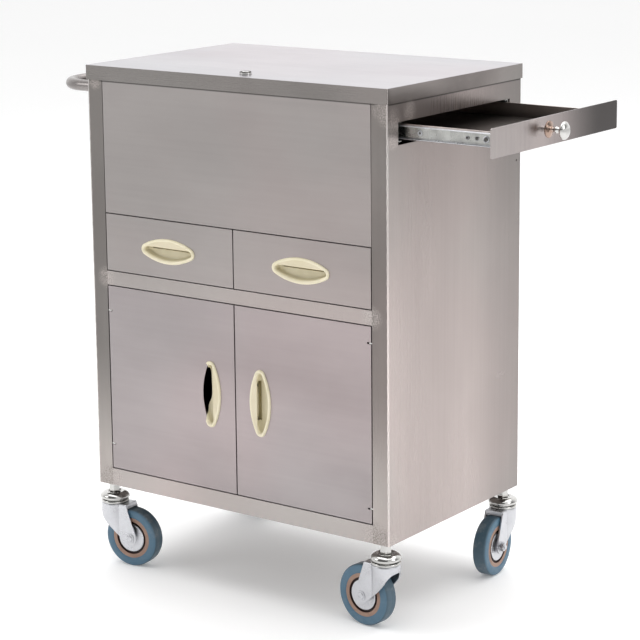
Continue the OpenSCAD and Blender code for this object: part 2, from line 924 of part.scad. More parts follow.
module caster_fork(i) {
    head_r = 6.5 / cos(30);
    out = fork_in + fork_t;
    seat = out + run_clear;
    color(zinc) at_caster(i) {
        difference() {
            union() {
                translate([0, 0, race_bottom]) cylinder(r = race_r, h = cap_bottom - 0.4 - race_bottom);
                translate([0, 0, plate_bottom]) intersection() {
                    union() {
                        cylinder(r = race_r, h = fork_t);
                        translate([0, -out, 0]) cube([31, 2 * out, fork_t]);
                        for (side = [-1, 1]) translate([31, side * (out - 4), 0]) cylinder(r = 4, h = fork_t);
                        translate([31, 4 - out, 0]) cube([4, 2 * out - 8, fork_t]);
                    }
                    translate([-25, -out, 0]) cube([70, 2 * out, fork_t]);
                }
                for (y = [-fork_in, out]) translate([0, y, 0]) rotate([90, 0, 0])
                    linear_extrude(height = fork_t) leg_outline();
            }
            translate([0, 0, plate_bottom - 1]) cylinder(r = stem_d / 2 + run_clear, h = 30);
            rod_z([0, 0, plate_bottom - 20], 9.4, 20 + fork_t);
            rod_y([trail, -out - 1, wheel_r], axle_d / 2 + run_clear, 2 * out + 2);
        }
        rod_y([trail, -out - 1, wheel_r], axle_d / 2, 2 * out + 9);
        translate([trail, -seat, wheel_r]) rotate([90, 0, 0]) cylinder(r = head_r, h = 5, $fn = 6);
        translate([trail, seat, wheel_r]) rotate([-90, 0, 0]) difference() {
            cylinder(r = head_r, h = 6, $fn = 6);
            translate([0, 0, -1]) cylinder(r = axle_d / 2 + run_clear, h = 8);
        }
    }
}

// A wheel part turned about the axle: the profile's X is the radius, Y across the wheel.
module on_axle(i) {
    at_caster(i) translate([trail, 0, wheel_r]) rotate([90, 0, 0]) children();
}

module caster_tyre(i) {
    half = wheel_w / 2;
    tread = 8.5;
    color(tyre_blue) on_axle(i) rotate_extrude($fn = 96) polygon([
        [core_r, -half + 0.5], [core_r + 5, -half], [wheel_r - 5, -half], [wheel_r - 1.6, -half + 2],
        [wheel_r, -tread], [wheel_r, tread], [wheel_r - 1.6, half - 2], [wheel_r - 5, half],
        [core_r + 5, half], [core_r, half - 0.5]
    ]);
}

module caster_core(i) {
    half = wheel_w / 2;
    bore = axle_d / 2 + run_clear;
    color(core_tan) on_axle(i) rotate_extrude($fn = 96) polygon([
        [bore, -half - 1.2], [10, -half - 1.2], [24.5, -half + 1.5], [24.5, -half + 3],
        [28, -half + 3], [28, -half + 1], [core_r, -half + 0.5],
        [core_r, half - 0.5], [28, half - 1], [28, half - 3],
        [24.5, half - 3], [24.5, half - 1.5], [10, half + 1.2], [bore, half + 1.2]
    ]);
}

module caster_fl_fork() { caster_fork(0); }
module caster_fl_tyre() { caster_tyre(0); }
module caster_fl_core() { caster_core(0); }
module caster_fr_fork() { caster_fork(1); }
module caster_fr_tyre() { caster_tyre(1); }
module caster_fr_core() { caster_core(1); }
module caster_rl_fork() { caster_fork(2); }
module caster_rl_tyre() { caster_tyre(2); }
module caster_rl_core() { caster_core(2); }
module caster_rr_fork() { caster_fork(3); }
module caster_rr_tyre() { caster_tyre(3); }
module caster_rr_core() { caster_core(3); }

side_panel_left();
side_panel_right();
back_panel();
upper_front_panel();
corner_posts();
bottom_rail();
mid_rail();
floor_panel();
drawer_deck();
drawer_divider();
bin_floor();
tray_bay_cover();
top_rim();
push_handle();
lid_hinge_frame_leaves();
lock_strike();
tray_slide_brackets();
tray_slide_outer();
drawer_slide_outer();
door_catches();
door_pivot_arms();
caster_sockets();
caster_stems();
caster_caps();
lid_buffers();
lid_pan();
lid_hinge_leaves();
lock_body();
lock_plug();
tray_box();
tray_front();
tray_knob();
tray_slide_inner();
tray_slide_cages();
drawer_left_box();
drawer_left_front();
drawer_left_pull();
drawer_left_slide_inner();
drawer_left_cages();
drawer_right_box();
drawer_right_front();
drawer_right_pull();
drawer_right_slide_inner();
drawer_right_cages();
door_left_panel();
door_left_pull();
door_right_panel();
door_right_pull();
caster_fl_fork();
caster_fl_tyre();
caster_fl_core();
caster_fr_fork();
caster_fr_tyre();
caster_fr_core();
caster_rl_fork();
caster_rl_tyre();
caster_rl_core();
caster_rr_fork();
caster_rr_tyre();
caster_rr_core();
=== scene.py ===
"""Looks of the instrument cart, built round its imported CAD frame. Blender lengths are metres;
the cabinet's own sizes are written in millimetres and turned into metres by mm() and at()."""

import json
import math
import random

import bmesh
import bpy
from mathutils import Matrix, Vector

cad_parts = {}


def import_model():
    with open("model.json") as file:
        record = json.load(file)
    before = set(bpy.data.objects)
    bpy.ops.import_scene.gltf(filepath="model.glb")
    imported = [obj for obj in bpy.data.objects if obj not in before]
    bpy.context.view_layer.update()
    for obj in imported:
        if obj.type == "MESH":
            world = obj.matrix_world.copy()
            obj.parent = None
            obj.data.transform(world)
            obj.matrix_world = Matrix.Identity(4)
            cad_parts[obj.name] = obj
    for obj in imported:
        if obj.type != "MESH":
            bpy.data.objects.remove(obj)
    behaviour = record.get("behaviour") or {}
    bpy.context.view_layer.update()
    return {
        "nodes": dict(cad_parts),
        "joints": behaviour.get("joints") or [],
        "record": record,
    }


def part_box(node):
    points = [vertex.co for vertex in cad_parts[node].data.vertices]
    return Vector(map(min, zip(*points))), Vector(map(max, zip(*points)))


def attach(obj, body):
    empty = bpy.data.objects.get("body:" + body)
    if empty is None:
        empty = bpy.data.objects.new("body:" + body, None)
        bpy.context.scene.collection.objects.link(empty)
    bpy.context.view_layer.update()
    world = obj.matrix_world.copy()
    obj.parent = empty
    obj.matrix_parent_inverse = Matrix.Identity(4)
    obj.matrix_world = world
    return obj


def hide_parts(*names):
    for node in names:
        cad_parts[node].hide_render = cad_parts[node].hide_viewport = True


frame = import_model()
NODES = frame["nodes"]
JOINTS = {joint["name"]: joint for joint in frame["joints"]}
BODY_OF = {n: body for body, names in frame["record"]["behaviour"]["bodies"].items() for n in names}
SLOT_OF = {row["node"]: row["material_slot"] for row in frame["record"]["subparts"]}
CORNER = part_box("side_panel_left")[0]
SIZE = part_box("side_panel_right")[1] - CORNER
random.seed(7)


def mm(value):
    return value * 0.001


def at(x, y, z):
    """A point given in millimetres from the cabinet's lower front left corner, in the row frame."""
    return CORNER + Vector((mm(x), mm(y), mm(z)))


CAB_W = 600
CAB_D = 386
CAB_H = 718
WHEEL_R = 50.0


# --- materials ---


class Wiring:
    """A node tree being wired: each method adds a node and returns its output."""

    def __init__(self, tree):
        self.tree = tree
        self.coordinates = tree.nodes.new("ShaderNodeTexCoord").outputs
        self.place = self.coordinates["Object"]

    def add(self, kind, settings=None, **inputs):
        node = self.tree.nodes.new(kind)
        for key, value in (settings or {}).items():
            setattr(node, key, value)
        for key, value in inputs.items():
            self.feed(node.inputs[key.replace("_", " ")], value)
        return node

    def feed(self, socket, value):
        if isinstance(value, bpy.types.NodeSocket):
            self.tree.links.new(value, socket)
        elif isinstance(value, (tuple, list)) and len(value) == 3 and socket.type == "RGBA":
            socket.default_value = (*value, 1)
        else:
            socket.default_value = value

    def math(self, operation, *values, clamp=False):
        node = self.tree.nodes.new("ShaderNodeMath")
        node.operation = operation
        node.use_clamp = clamp
        for socket, value in zip(node.inputs, values):
            self.feed(socket, value)
        return node.outputs[0]

    def plus(self, result, *others):
        for value in others:
            result = self.math("ADD", result, value)
        return result

    def times(self, result, *others):
        for value in others:
            result = self.math("MULTIPLY", result, value)
        return result

    def moved(self, scale=(1, 1, 1), turn=(0, 0, 0), shift=(0, 0, 0)):
        node = self.add("ShaderNodeMapping", Vector=self.place)
        node.inputs["Scale"].default_value = scale
        node.inputs["Rotation"].default_value = turn
        node.inputs["Location"].default_value = shift
        return node.outputs["Vector"]

    def noise(self, rate, detail=2.0, rough=0.5, **moves):
        vector = self.moved(**moves) if moves else self.place
        node = self.add("ShaderNodeTexNoise", Vector=vector, Scale=rate, Detail=detail, Roughness=rough)
        return node.outputs["Fac"]

    def between(self, value, low, high, to_low=0.0, to_high=1.0):
        """Value from low..high, smoothly clamped onto to_low..to_high."""
        node = self.add("ShaderNodeMapRange", {"interpolation_type": "SMOOTHSTEP"}, Value=value)
        for name, number in zip(("From Min", "From Max", "To Min", "To Max"), (low, high, to_low, to_high)):
            self.feed(node.inputs[name], number)
        return node.outputs["Result"]

    def spread(self, noise, low, high):
        """A noise, from the range that it mostly keeps to, onto low..high."""
        return self.between(noise, 0.3, 0.7, low, high)

    def mix(self, share, a, b, blend="MIX"):
        node = self.add("ShaderNodeMix", {"data_type": "RGBA", "blend_type": blend})
        self.feed(node.inputs["Factor"], share)
        self.feed(node.inputs["A"], a)
        self.feed(node.inputs["B"], b)
        return node.outputs["Result"]

    def toned(self, color, value):
        """A colour times a grey value."""
        grey = self.add("ShaderNodeCombineColor", Red=value, Green=value, Blue=value).outputs["Color"]
        return self.mix(1.0, color, grey, "MULTIPLY")

    def bump(self, height, strength, depth, normal=None):
        node = self.add("ShaderNodeBump", Height=height, Strength=strength, Distance=depth)
        if normal is not None:
            self.feed(node.inputs["Normal"], normal)
        return node.outputs["Normal"]


class Surface(Wiring):
    """A material being wired."""

    def __init__(self, name):
        self.material = bpy.data.materials.new(name)
        self.material.use_nodes = True
        self.material.node_tree.nodes.clear()
        super().__init__(self.material.node_tree)

    def finish(self, **inputs):
        """The material, with these inputs on its shader."""
        shader = self.add("ShaderNodeBsdfPrincipled", **inputs)
        out = self.add("ShaderNodeOutputMaterial")
        self.tree.links.new(shader.outputs["BSDF"], out.inputs["Surface"])
        return self.material


AXES = {"X": 0, "Y": 1, "Z": 2}

# Noise rates per metre, along and across the grain of a brushed sheet.
FINE_LINES = (12, 1500)
STREAKS = (2.5, 150)
CLOUDS = (3.0, 6.5)
SHEET_WAVES = (0.5, 5.0)


def scaled(color, *gains):
    """A colour times one gain, or times a gain for each channel."""
    return tuple(channel * gain for channel, gain in zip(color, gains * 3))


def painted_light_drift(axis, start, end, gain):
    """A slow change of tone, from 1 to gain, between two distances in millimetres from the
    cabinet's corner: painted light and shade."""
    index = AXES[axis]
    return axis, at(start, start, start)[index], at(end, end, end)[index], gain


def stretched(axis, along, across):
    """Scale that draws a noise out along one axis."""
    scale = [across] * 3
    scale[AXES[axis]] = along
    return tuple(scale)


def spot_mask(s, spots):
    """1 at the spots, falling to 0 at each one's radius, with a ragged edge."""
    ragged = s.spread(s.noise(70, 4, 0.65), 0.55, 1.25)
    mask = None
    for centre, radius in spots:
        far = s.add("ShaderNodeVectorMath", {"operation": "DISTANCE"})
        s.feed(far.inputs[0], s.place)
        far.inputs[1].default_value = centre
        spot = s.between(s.math("DIVIDE", far.outputs["Value"], radius), 1.0, 0.35)
        mask = spot if mask is None else s.math("MAXIMUM", mask, spot)
    return s.math("MULTIPLY", mask, ragged, clamp=True)


def brushed_steel(name, tint, grain, rough, cloud=0.04, spots=(), spot_gain=1.6, waves=0.03,
                  painted_light_drifts=(), lines=0.015, relief=0.14):
    """Satin stainless sheet: fine lines along the grain, clouds and waves of tone, faint scratches,
    and coarse ground welds at spots, as (centre, radius). Cloud, waves and lines are shares of the
    tone, and relief is the strength of the grain's bump."""
    s = Surface(name)
    fine = s.noise(1.0, 3, 0.6, scale=stretched(grain, *FINE_LINES))
    streak = s.noise(1.0, 3, 0.55, scale=stretched(grain, *STREAKS))
    clouds = s.noise(1.0, 4, 0.55, scale=stretched(grain, *CLOUDS))
    wave = s.noise(1.0, 1, 0.4, scale=stretched(grain, *SHEET_WAVES), shift=(0.7, 0.2, 0.9))
    warm = s.noise(2.2, 2, 0.5, shift=(3.1, 1.7, 0.4))
    scratch = s.between(s.noise(1.0, 2, 0.5, scale=(900, 14, 30), turn=(0.5, 0.9, 0.6)), 0.70, 0.76)
    tone = s.plus(s.between(streak, 0.25, 0.75, 1 - lines, 1 + lines),
                  s.spread(fine, -0.6 * lines, 0.6 * lines),
                  s.spread(clouds, -cloud, cloud), s.spread(wave, -waves, waves))
    parts = s.add("ShaderNodeSeparateXYZ", Vector=s.place)
    # Painted light and shade: slow changes of tone along an axis.
    for axis, start, end, gain in painted_light_drifts:
        tone = s.times(tone, s.between(parts.outputs[axis], start, end, 1.0, gain))
    cool = scaled(tint, 0.975, 1.0, 1.005)
    pink = scaled(tint, 1.025, 0.99, 0.995)
    color = s.toned(s.mix(s.between(warm, 0.35, 0.65), cool, pink), tone)
    roughness = s.plus(s.spread(fine, rough - 0.03, rough + 0.03), s.spread(clouds, 0.04, -0.04))
    height = s.plus(s.times(fine, 0.6), s.times(streak, 0.4))
    if spots:
        mask = spot_mask(s, spots)
        ground = s.noise(420, 3, 0.7)
        weld = s.mix(s.between(ground, 0.35, 0.65), scaled(tint, 0.82), scaled(tint, spot_gain))
        color = s.mix(s.times(mask, 0.8), color, weld)
        roughness = s.plus(roughness, s.times(mask, 0.08))
        height = s.plus(height, s.times(mask, ground, 1.5))
    roughness = s.math("SUBTRACT", roughness, s.times(scratch, 0.06))
    normal = s.bump(height, relief, mm(0.2))
    normal = s.bump(scratch, -0.2, mm(0.12), normal)
    return s.finish(Base_Color=color, Metallic=1.0, Roughness=roughness, Normal=normal)


def plated(name, tint, rough, blotch=0.05):
    """Chrome or zinc plating: near mirror with a little haze, tiny pits and rub marks."""
    s = Surface(name)
    haze = s.noise(45, 4, 0.6)
    fleck = s.noise(900, 2, 0.6)
    rub = s.noise(160, 3, 0.6, scale=(1, 1, 0.35))
    tone = s.plus(s.spread(haze, 1 - blotch, 1 + blotch), s.between(fleck, 0.4, 0.6, -0.03, 0.02))
    color = s.toned(tint, tone)
    roughness = s.plus(s.spread(haze, rough * 0.75, rough * 1.3), s.between(rub, 0.5, 0.75, 0, 0.06))
    normal = s.bump(fleck, 0.3, mm(0.12))
    normal = s.bump(haze, 0.12, mm(0.8), normal)
    return s.finish(Base_Color=color, Metallic=1.0, Roughness=roughness, Normal=normal)


def moulded(name, tint, deep, rough=0.34):
    """Moulded plastic: even colour with a slight mottle, fine spark-eroded grain, soft gloss."""
    s = Surface(name)
    mottle = s.noise(38, 4, 0.6)
    grain = s.noise(1400, 2, 0.6)
    worn = s.noise(12, 5, 0.65, shift=(0.3, 2.1, 1.2))
    color = s.mix(s.between(mottle, 0.35, 0.7), tint, deep)
    color = s.mix(s.between(worn, 0.55, 0.75, 0, 0.25), color, scaled(deep, 0.88))
    roughness = s.plus(s.spread(mottle, rough - 0.05, rough + 0.06), s.spread(grain, -0.02, 0.02))
    normal = s.bump(grain, 0.18, mm(0.06))
    normal = s.bump(mottle, 0.10, mm(0.5), normal)
    return s.finish(Base_Color=color, Roughness=roughness, Normal=normal, Specular_IOR_Level=0.45)


def rubber(name, side, tread, radius):
    """Tyre rubber, its own Z along the axle: a paler sidewall, a darker scuffed tread, grey dust."""
    s = Surface(name)
    parts = s.add("ShaderNodeSeparateXYZ", Vector=s.place)
    flat = s.add("ShaderNodeCombineXYZ", X=parts.outputs["X"], Y=parts.outputs["Y"]).outputs["Vector"]
    out = s.add("ShaderNodeVectorMath", {"operation": "LENGTH"})
    s.feed(out.inputs[0], flat)
    ring = s.between(out.outputs["Value"], radius * 0.955, radius * 0.985)
    mottle = s.noise(120, 5, 0.6)
    dust = s.noise(34, 5, 0.7, shift=(1.1, 0.2, 0.7))
    scuff = s.noise(1.0, 3, 0.6, scale=(160, 160, 30))
    color = s.mix(ring, side, tread)
    color = s.mix(s.between(mottle, 0.3, 0.75, 0, 0.30), color, scaled(side, 0.72))
    dusty = s.times(s.between(dust, 0.5, 0.75), s.between(ring, 0, 1, 0.22, 0.5))
    color = s.mix(dusty, color, (0.30, 0.31, 0.31))
    roughness = s.plus(s.spread(scuff, 0.38, 0.53), s.times(dusty, 0.2))
    normal = s.bump(scuff, 0.25, mm(0.25))
    normal = s.bump(s.noise(1500, 2, 0.6), 0.25, mm(0.08), normal)
    return s.finish(Base_Color=color, Roughness=roughness, Normal=normal, Specular_IOR_Level=0.5)


RAIL_JOINTS = [(at(x, 4, z), mm(r)) for x in (30, CAB_W - 30) for z, r in ((15, 30), (362, 24))]
POST_TOPS = [(at(CAB_W - 10, 0, 686), mm(24)), (at(CAB_W - 4, 0, 672), mm(18)), (at(15, 0, 690), mm(16))]
POST_FEET = [(at(CAB_W - 15, 0, 6), mm(34)), (at(14, 0, 4), mm(24))]
SIDE_SPOTS = [(at(CAB_W, y, z), mm(r)) for y, z, r in ((18, 664, 28), (14, 640, 22), (60, 676, 22),
                                                       (14, 5, 18))]

# Heights between which the foot of a post or a door is painted lighter towards the floor: painted light.
PAINTED_LIGHT_FOOT = (260, 20)
# The lid's lower edge, in metres, and the dark line just under it: a painted shadow of the lid's skirt on
# the body.
LID_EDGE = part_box("lid_pan")[0].z
PAINTED_SHADOW_UNDER_LID = ("Z", LID_EDGE - mm(3.4), LID_EDGE - mm(1.6), 0.3)

MATS = {
    "panel": brushed_steel("steel_panel", (0.340, 0.309, 0.299), "X", rough=0.38, painted_light_drifts=(PAINTED_SHADOW_UNDER_LID,)),
    # The doors are painted a little lighter at the foot: painted light.
    "door": brushed_steel("steel_door", (0.348, 0.310, 0.310), "X", rough=0.38, cloud=0.045,
                          painted_light_drifts=(painted_light_drift("Z", *PAINTED_LIGHT_FOOT, 1.03),)),
    # The side sheet is painted darker towards its back edge and towards its top: painted shade.
    "side": brushed_steel("steel_side", (0.375, 0.336, 0.320), "Z", rough=0.30, cloud=0.03, waves=0.07,
                          lines=0.02, relief=0.02, spots=SIDE_SPOTS,
                          painted_light_drifts=(painted_light_drift("Y", 190, CAB_D, 0.76), painted_light_drift("Z", 380, 640, 0.86), PAINTED_SHADOW_UNDER_LID)),
    # The lid's top and skirt are one sheet: the top a lighter copy, painted light; the skirt a darker copy,
    # painted shade, with bands of painted reflection along its sides.
    "lid": brushed_steel("steel_lid", (0.375, 0.356, 0.374), "X", rough=0.34, cloud=0.012, waves=0.01,
                         lines=0.006, relief=0.06),
    "skirt": brushed_steel("steel_lid_skirt_painted_shade", (0.225, 0.207, 0.197), "X", rough=0.28, cloud=0.14,
                           waves=0.10, painted_light_drifts=(painted_light_drift("Y", -2, 10, 1.3), painted_light_drift("Y", 60, 180, 0.76),
                                               painted_light_drift("Y", 250, 370, 1.3))),
    # The posts are painted much lighter at the foot and a little darker below mid height: painted light and
    # shade.
    "post": brushed_steel("steel_post", (0.215, 0.195, 0.184), "Z", rough=0.32, cloud=0.06,
                          spots=RAIL_JOINTS + POST_TOPS + POST_FEET, spot_gain=2.2,
                          painted_light_drifts=(painted_light_drift("Z", *PAINTED_LIGHT_FOOT, 2.1), painted_light_drift("Z", 640, 420, 0.86), PAINTED_SHADOW_UNDER_LID)),
    # The rails are painted lighter towards the floor: painted light.
    "rail": brushed_steel("steel_rail", (0.355, 0.322, 0.308), "X", rough=0.34, spots=RAIL_JOINTS,
                          painted_light_drifts=(painted_light_drift("Z", 340, 40, 1.18),)),
    # Bright steel for the corner welds, partly a painted highlight, and for the lid's lower edge, a painted
    # highlight.
    "seam": brushed_steel("steel_ground_seam", (0.56, 0.52, 0.50), "Z", rough=0.26, cloud=0.16, waves=0.12),
    "inner": brushed_steel("steel_inner", (0.24, 0.212, 0.198), "Y", rough=0.40, cloud=0.06),
    # The tray's inside is a dark copy of the steel, painted shade, painted lighter towards its rim: painted
    # light.
    "tray": brushed_steel("steel_tray_painted_shade", (0.18, 0.159, 0.148), "X", rough=0.34, cloud=0.12, lines=0.008,
                          waves=0.12, painted_light_drifts=(painted_light_drift("Z", 637, 655, 3.1),)),
    # The tray's front plate is painted bright near its front, fading to near black at its far end: a
    # painted reflection.
    "tray_plate": brushed_steel("steel_tray_plate_painted_reflection", (0.465, 0.412, 0.400), "Z", rough=0.20, cloud=0.07,
                                lines=0.05, waves=0.08, painted_light_drifts=(painted_light_drift("Y", 130, 335, 0.15),)),
    "tube": brushed_steel("steel_tube", (0.245, 0.221, 0.214), "Y", rough=0.26, cloud=0.08),
    "chrome": plated("chrome", (0.55, 0.545, 0.53), 0.11),
    "copper_chrome": plated("chrome_warm", (0.34, 0.245, 0.20), 0.16),
    "zinc": plated("zinc", (0.57, 0.575, 0.60), 0.32, blotch=0.07),
    "slide": plated("zinc_slide", (0.40, 0.40, 0.385), 0.24, blotch=0.20),
    # Near black metal: a painted reflection on the lock's top ring and painted shade on the tray slide's
    # rivet heads.
    "painted_dark": plated("painted_dark_metal", (0.10, 0.095, 0.09), 0.3),
    "cream": moulded("cream_plastic", (0.84, 0.77, 0.575), (0.80, 0.73, 0.52)),
    # The lip, pocket and slot below are darker copies of the pull's cream plastic: painted shade, deepest
    # in the slot.
    "lip": moulded("cream_lip_painted_shade", (0.76, 0.68, 0.50), (0.72, 0.64, 0.45)),
    "pocket": moulded("cream_pocket", (0.69, 0.625, 0.44), (0.65, 0.585, 0.40)),
    "slot": moulded("cream_slot_painted_shade", (0.52, 0.45, 0.25), (0.44, 0.375, 0.19), rough=0.5),
    "tan": moulded("tan_plastic", (0.37, 0.235, 0.175), (0.30, 0.185, 0.14), rough=0.5),
    # Near black: painted shade in the wheels' sunk middles and in the lock's recess.
    "shadow": moulded("painted_shadow_plastic", (0.035, 0.014, 0.012), (0.02, 0.01, 0.01), rough=0.55),
    "black": moulded("black_rubber", (0.03, 0.03, 0.032), (0.018, 0.018, 0.02), rough=0.6),
    "tyre": rubber("tyre_rubber", (0.08, 0.165, 0.24), (0.06, 0.105, 0.14), mm(WHEEL_R)),
}


# --- mesh tools ---

# Angles between faces past which an edge is rounded over, and past which it is shaded sharp.
SHARP = math.radians(30)
SHARP_SHADING = math.radians(38)


def turned(degrees, axis):
    return Matrix.Rotation(math.radians(degrees), 4, axis)


def modify(obj, name, kind, **settings):
    modifier = obj.modifiers.new(name, kind)
    for key, value in settings.items():
        setattr(modifier, key, value)
    return modifier


def in_scene(name, data):
    obj = bpy.data.objects.new(name, data)
    bpy.context.scene.collection.objects.link(obj)
    return obj


def mesh_from(name, bm):
    mesh = bpy.data.meshes.new(name)
    bm.to_mesh(mesh)
    bm.free()
    return mesh


def piece(name, bm, body, slot, *materials, place=None, own_axes=False, from_cad=False):
    """A finished piece from a bmesh, put in place and riding on a body, its finish from the materials
    given; its slot of the record is not used. It keeps its own axes only where its material needs them."""
    if not from_cad:
        bmesh.ops.recalc_face_normals(bm, faces=bm.faces)
    if place is not None and not own_axes:
        bmesh.ops.transform(bm, matrix=place, verts=bm.verts)
    mesh = mesh_from(name, bm)
    for key in materials:
        mesh.materials.append(MATS[key])
    mesh.shade_smooth()
    mesh.set_sharp_from_angle(angle=SHARP_SHADING)
    obj = in_scene(name, mesh)
    if own_axes:
        obj.matrix_world = place
    modify(obj, "even_normals", "WEIGHTED_NORMAL", keep_sharp=True)
    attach(obj, body)
    return obj


def every(_edge):
    return True


def upright(edge):
    a, b = (v.co for v in edge.verts)
    return abs(a.x - b.x) + abs(a.y - b.y) < 1e-5


def lasting(length):
    """Edges at least that many millimetres long."""
    return lambda edge: edge.calc_length() > mm(length)


def soften(node, material, rounds, top=None):
    """A piece on a CAD node's own faces: flat faces merged, then each round of sharp edges rolled
    over. Faces that look up may take a material of their own; on the lid, a lighter copy: painted light."""
    bm = bmesh.new()
    bm.from_mesh(NODES[node].data)
    bmesh.ops.remove_doubles(bm, verts=bm.verts, dist=mm(0.004))
    bmesh.ops.dissolve_limit(bm, angle_limit=math.radians(0.6), verts=bm.verts, edges=bm.edges)
    for test, width, segments in rounds:
        edges = [e for e in bm.edges if len(e.link_faces) == 2 and e.calc_face_angle() > SHARP and test(e)]
        bmesh.ops.bevel(bm, geom=edges, offset=mm(width), segments=segments, profile=0.5,
                        affect="EDGES", clamp_overlap=True)
    materials = [material]
    if top:
        materials.append(top)
        bm.normal_update()
        for face in bm.faces:
            face.material_index = int(face.normal.z > 0.75)
    obj = piece(node + "_finished", bm, BODY_OF[node], SLOT_OF[node], *materials, from_cad=True)
    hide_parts(node)
    return obj


def ring_faces(bm, rows, closed_rows=False, caps=(False, False)):
    """Quads between rows of vertices that each run round; a row of one vertex is a point."""
    pairs = list(zip(rows, rows[1:]))
    if closed_rows:
        pairs.append((rows[-1], rows[0]))
    for low, high in pairs:
        count = max(len(low), len(high))
        for i in range(count):
            j = (i + 1) % count
            corners = [low[i % len(low)], low[j % len(low)], high[j % len(high)], high[i % len(high)]]
            unique = list(dict.fromkeys(corners))
            if len(unique) > 2:
                bm.faces.new(unique)
    for row, wanted in zip((rows[0], rows[-1]), caps):
        if wanted and len(row) > 2:
            bm.faces.new(row)


def lathe(bm, profile, steps=96, closed=False, place=None, material=0):
    """Turns (radius, height) points, in millimetres, about Z. A point on the axis is one vertex."""
    start = len(bm.faces)
    rows = []
    for radius, height in profile:
        turns = [2 * math.pi * i / steps for i in range(steps if radius else 1)]
        rows.append([bm.verts.new((mm(radius) * math.cos(a), mm(radius) * math.sin(a), mm(height)))
                     for a in turns])
    ring_faces(bm, rows, closed_rows=closed)
    bm.faces.ensure_lookup_table()
    for face in bm.faces[start:]:
        face.material_index = material
    if place is not None:
        bmesh.ops.transform(bm, matrix=place, verts=[v for row in rows for v in row])


def hex_nut(bm, flats, low, high, chamfer, bore):
    """A hexagonal nut with chamfered corners, standing on Z; bore is its hole's radius."""
    corner = flats / math.sqrt(3)
    lathe(bm, [(bore, low), (corner - chamfer, low), (corner, low + chamfer), (corner, high - chamfer),
               (corner - chamfer, high), (bore, high)], steps=6, closed=True)


def mirrored(half):
    """A closed outline from its upper half, as (radius, height) points."""
    return half + [(radius, -height) for radius, height in reversed(half)]


def block(bm, low, high):
    """A box between two corners, in millimetres."""
    made = bmesh.ops.create_cube(bm, size=1)["verts"]
    low, high = Vector(low), Vector(high)
    for vert in made:
        share = vert.co + Vector((0.5, 0.5, 0.5))
        vert.co = Vector([mm(a + (b - a) * t) for a, b, t in zip(low, high, share)])
    return made


# --- sheet metal ---


# Rounds of softening: a test for an edge, a width in millimetres and a number of segments.
FINE = ((every, 0.3, 1),)
SHEET = ((lasting(100), 0.5, 2),)
FRONT = ((lasting(100), 1.0, 3), (every, 0.3, 1))

# Height of the lid's lower edge, which is painted bright: a painted highlight.
LID_LIP = 1.6


def cabinet():
    for side in ("left", "right"):
        soften(f"side_panel_{side}", "side", ((lasting(100), 0.25, 1), (every, 0.2, 1)))
    soften("back_panel", "side", SHEET)
    soften("upper_front_panel", "panel", SHEET)
    soften("corner_posts", "post", ((upright, 0.5, 2), (every, 0.3, 1)))
    soften("bottom_rail", "rail", ((lasting(100), 1.2, 3), (every, 0.2, 1)))
    soften("mid_rail", "rail", ((lasting(100), 1.0, 3), (every, 0.2, 1)))
    for node in ("floor_panel", "drawer_deck", "bin_floor", "drawer_divider", "tray_bay_cover",
                 "tray_slide_brackets"):
        soften(node, "inner", FINE)
    soften("top_rim", "rail", ((lasting(100), 0.4, 2),))


def lid():
    """The lid's pan: a smooth top, a skirt painted darker as shade, and its lower edge painted bright as a
    highlight.
    """
    pan = soften("lid_pan", "skirt", ((upright, 2.0, 4), (lasting(300), 1.3, 3), (every, 0.2, 1)),
                 top="lid")
    pan.data.materials.append(MATS["seam"])
    # Faces along the lower edge take the bright seam steel: a painted highlight.
    for face in pan.data.polygons:
        highest = max(pan.data.vertices[i].co.z for i in face.vertices)
        if face.center.z < LID_EDGE + mm(LID_LIP - 0.3) and highest < LID_EDGE + mm(LID_LIP):
            face.material_index = 2


def fronts_and_fittings():
    for side in ("left", "right"):
        soften(f"drawer_{side}_front", "panel", FRONT)
        soften(f"drawer_{side}_box", "inner", ((lasting(50), 0.5, 2),))
        soften(f"door_{side}_panel", "door", FRONT)
    soften("tray_box", "tray", ((lasting(20), 0.5, 2),))
    soften("tray_front", "tray_plate", ((every, 0.45, 2),))
    soften("door_pivot_arms", "chrome", FINE)
    soften("lock_strike", "zinc", FINE)
    soften("lid_hinge_frame_leaves", "zinc", ((every, 0.3, 2),))
    soften("lid_hinge_leaves", "zinc", ((every, 0.3, 2),))
    soften("door_catches", "black", ((every, 1.0, 2),))
    soften("lock_plug", "chrome", ((every, 0.2, 1),))


def corner_seams():
    """The ground and polished weld down each front corner, between the post and the side sheet; its bright
    steel is partly a painted highlight along the corner.
    """
    low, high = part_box("side_panel_left")
    levels = 240
    sunk = 0.35
    for name, side, x in (("left", -1, CORNER.x), ("right", 1, CORNER.x + SIZE.x)):
        bm = bmesh.new()
        rows = []
        for k in range(levels + 1):
            z = low.z + (high.z - low.z) * k / levels
            wide = 1.55 + 0.15 * math.sin(k * 0.9) + random.uniform(-0.12, 0.12)
            x_mid, y_mid = x - side * mm(wide - sunk), low.y + mm(wide - sunk)
            turns = [math.radians(turn) for turn in range(0, 360, 30)]
            rows.append([bm.verts.new((x_mid + mm(wide) * math.cos(a), y_mid + mm(wide) * math.sin(a), z))
                         for a in turns])
        ring_faces(bm, rows, caps=(True, True))
        piece(f"corner_seam_{name}", bm, "cabinet", "stainless", "seam")


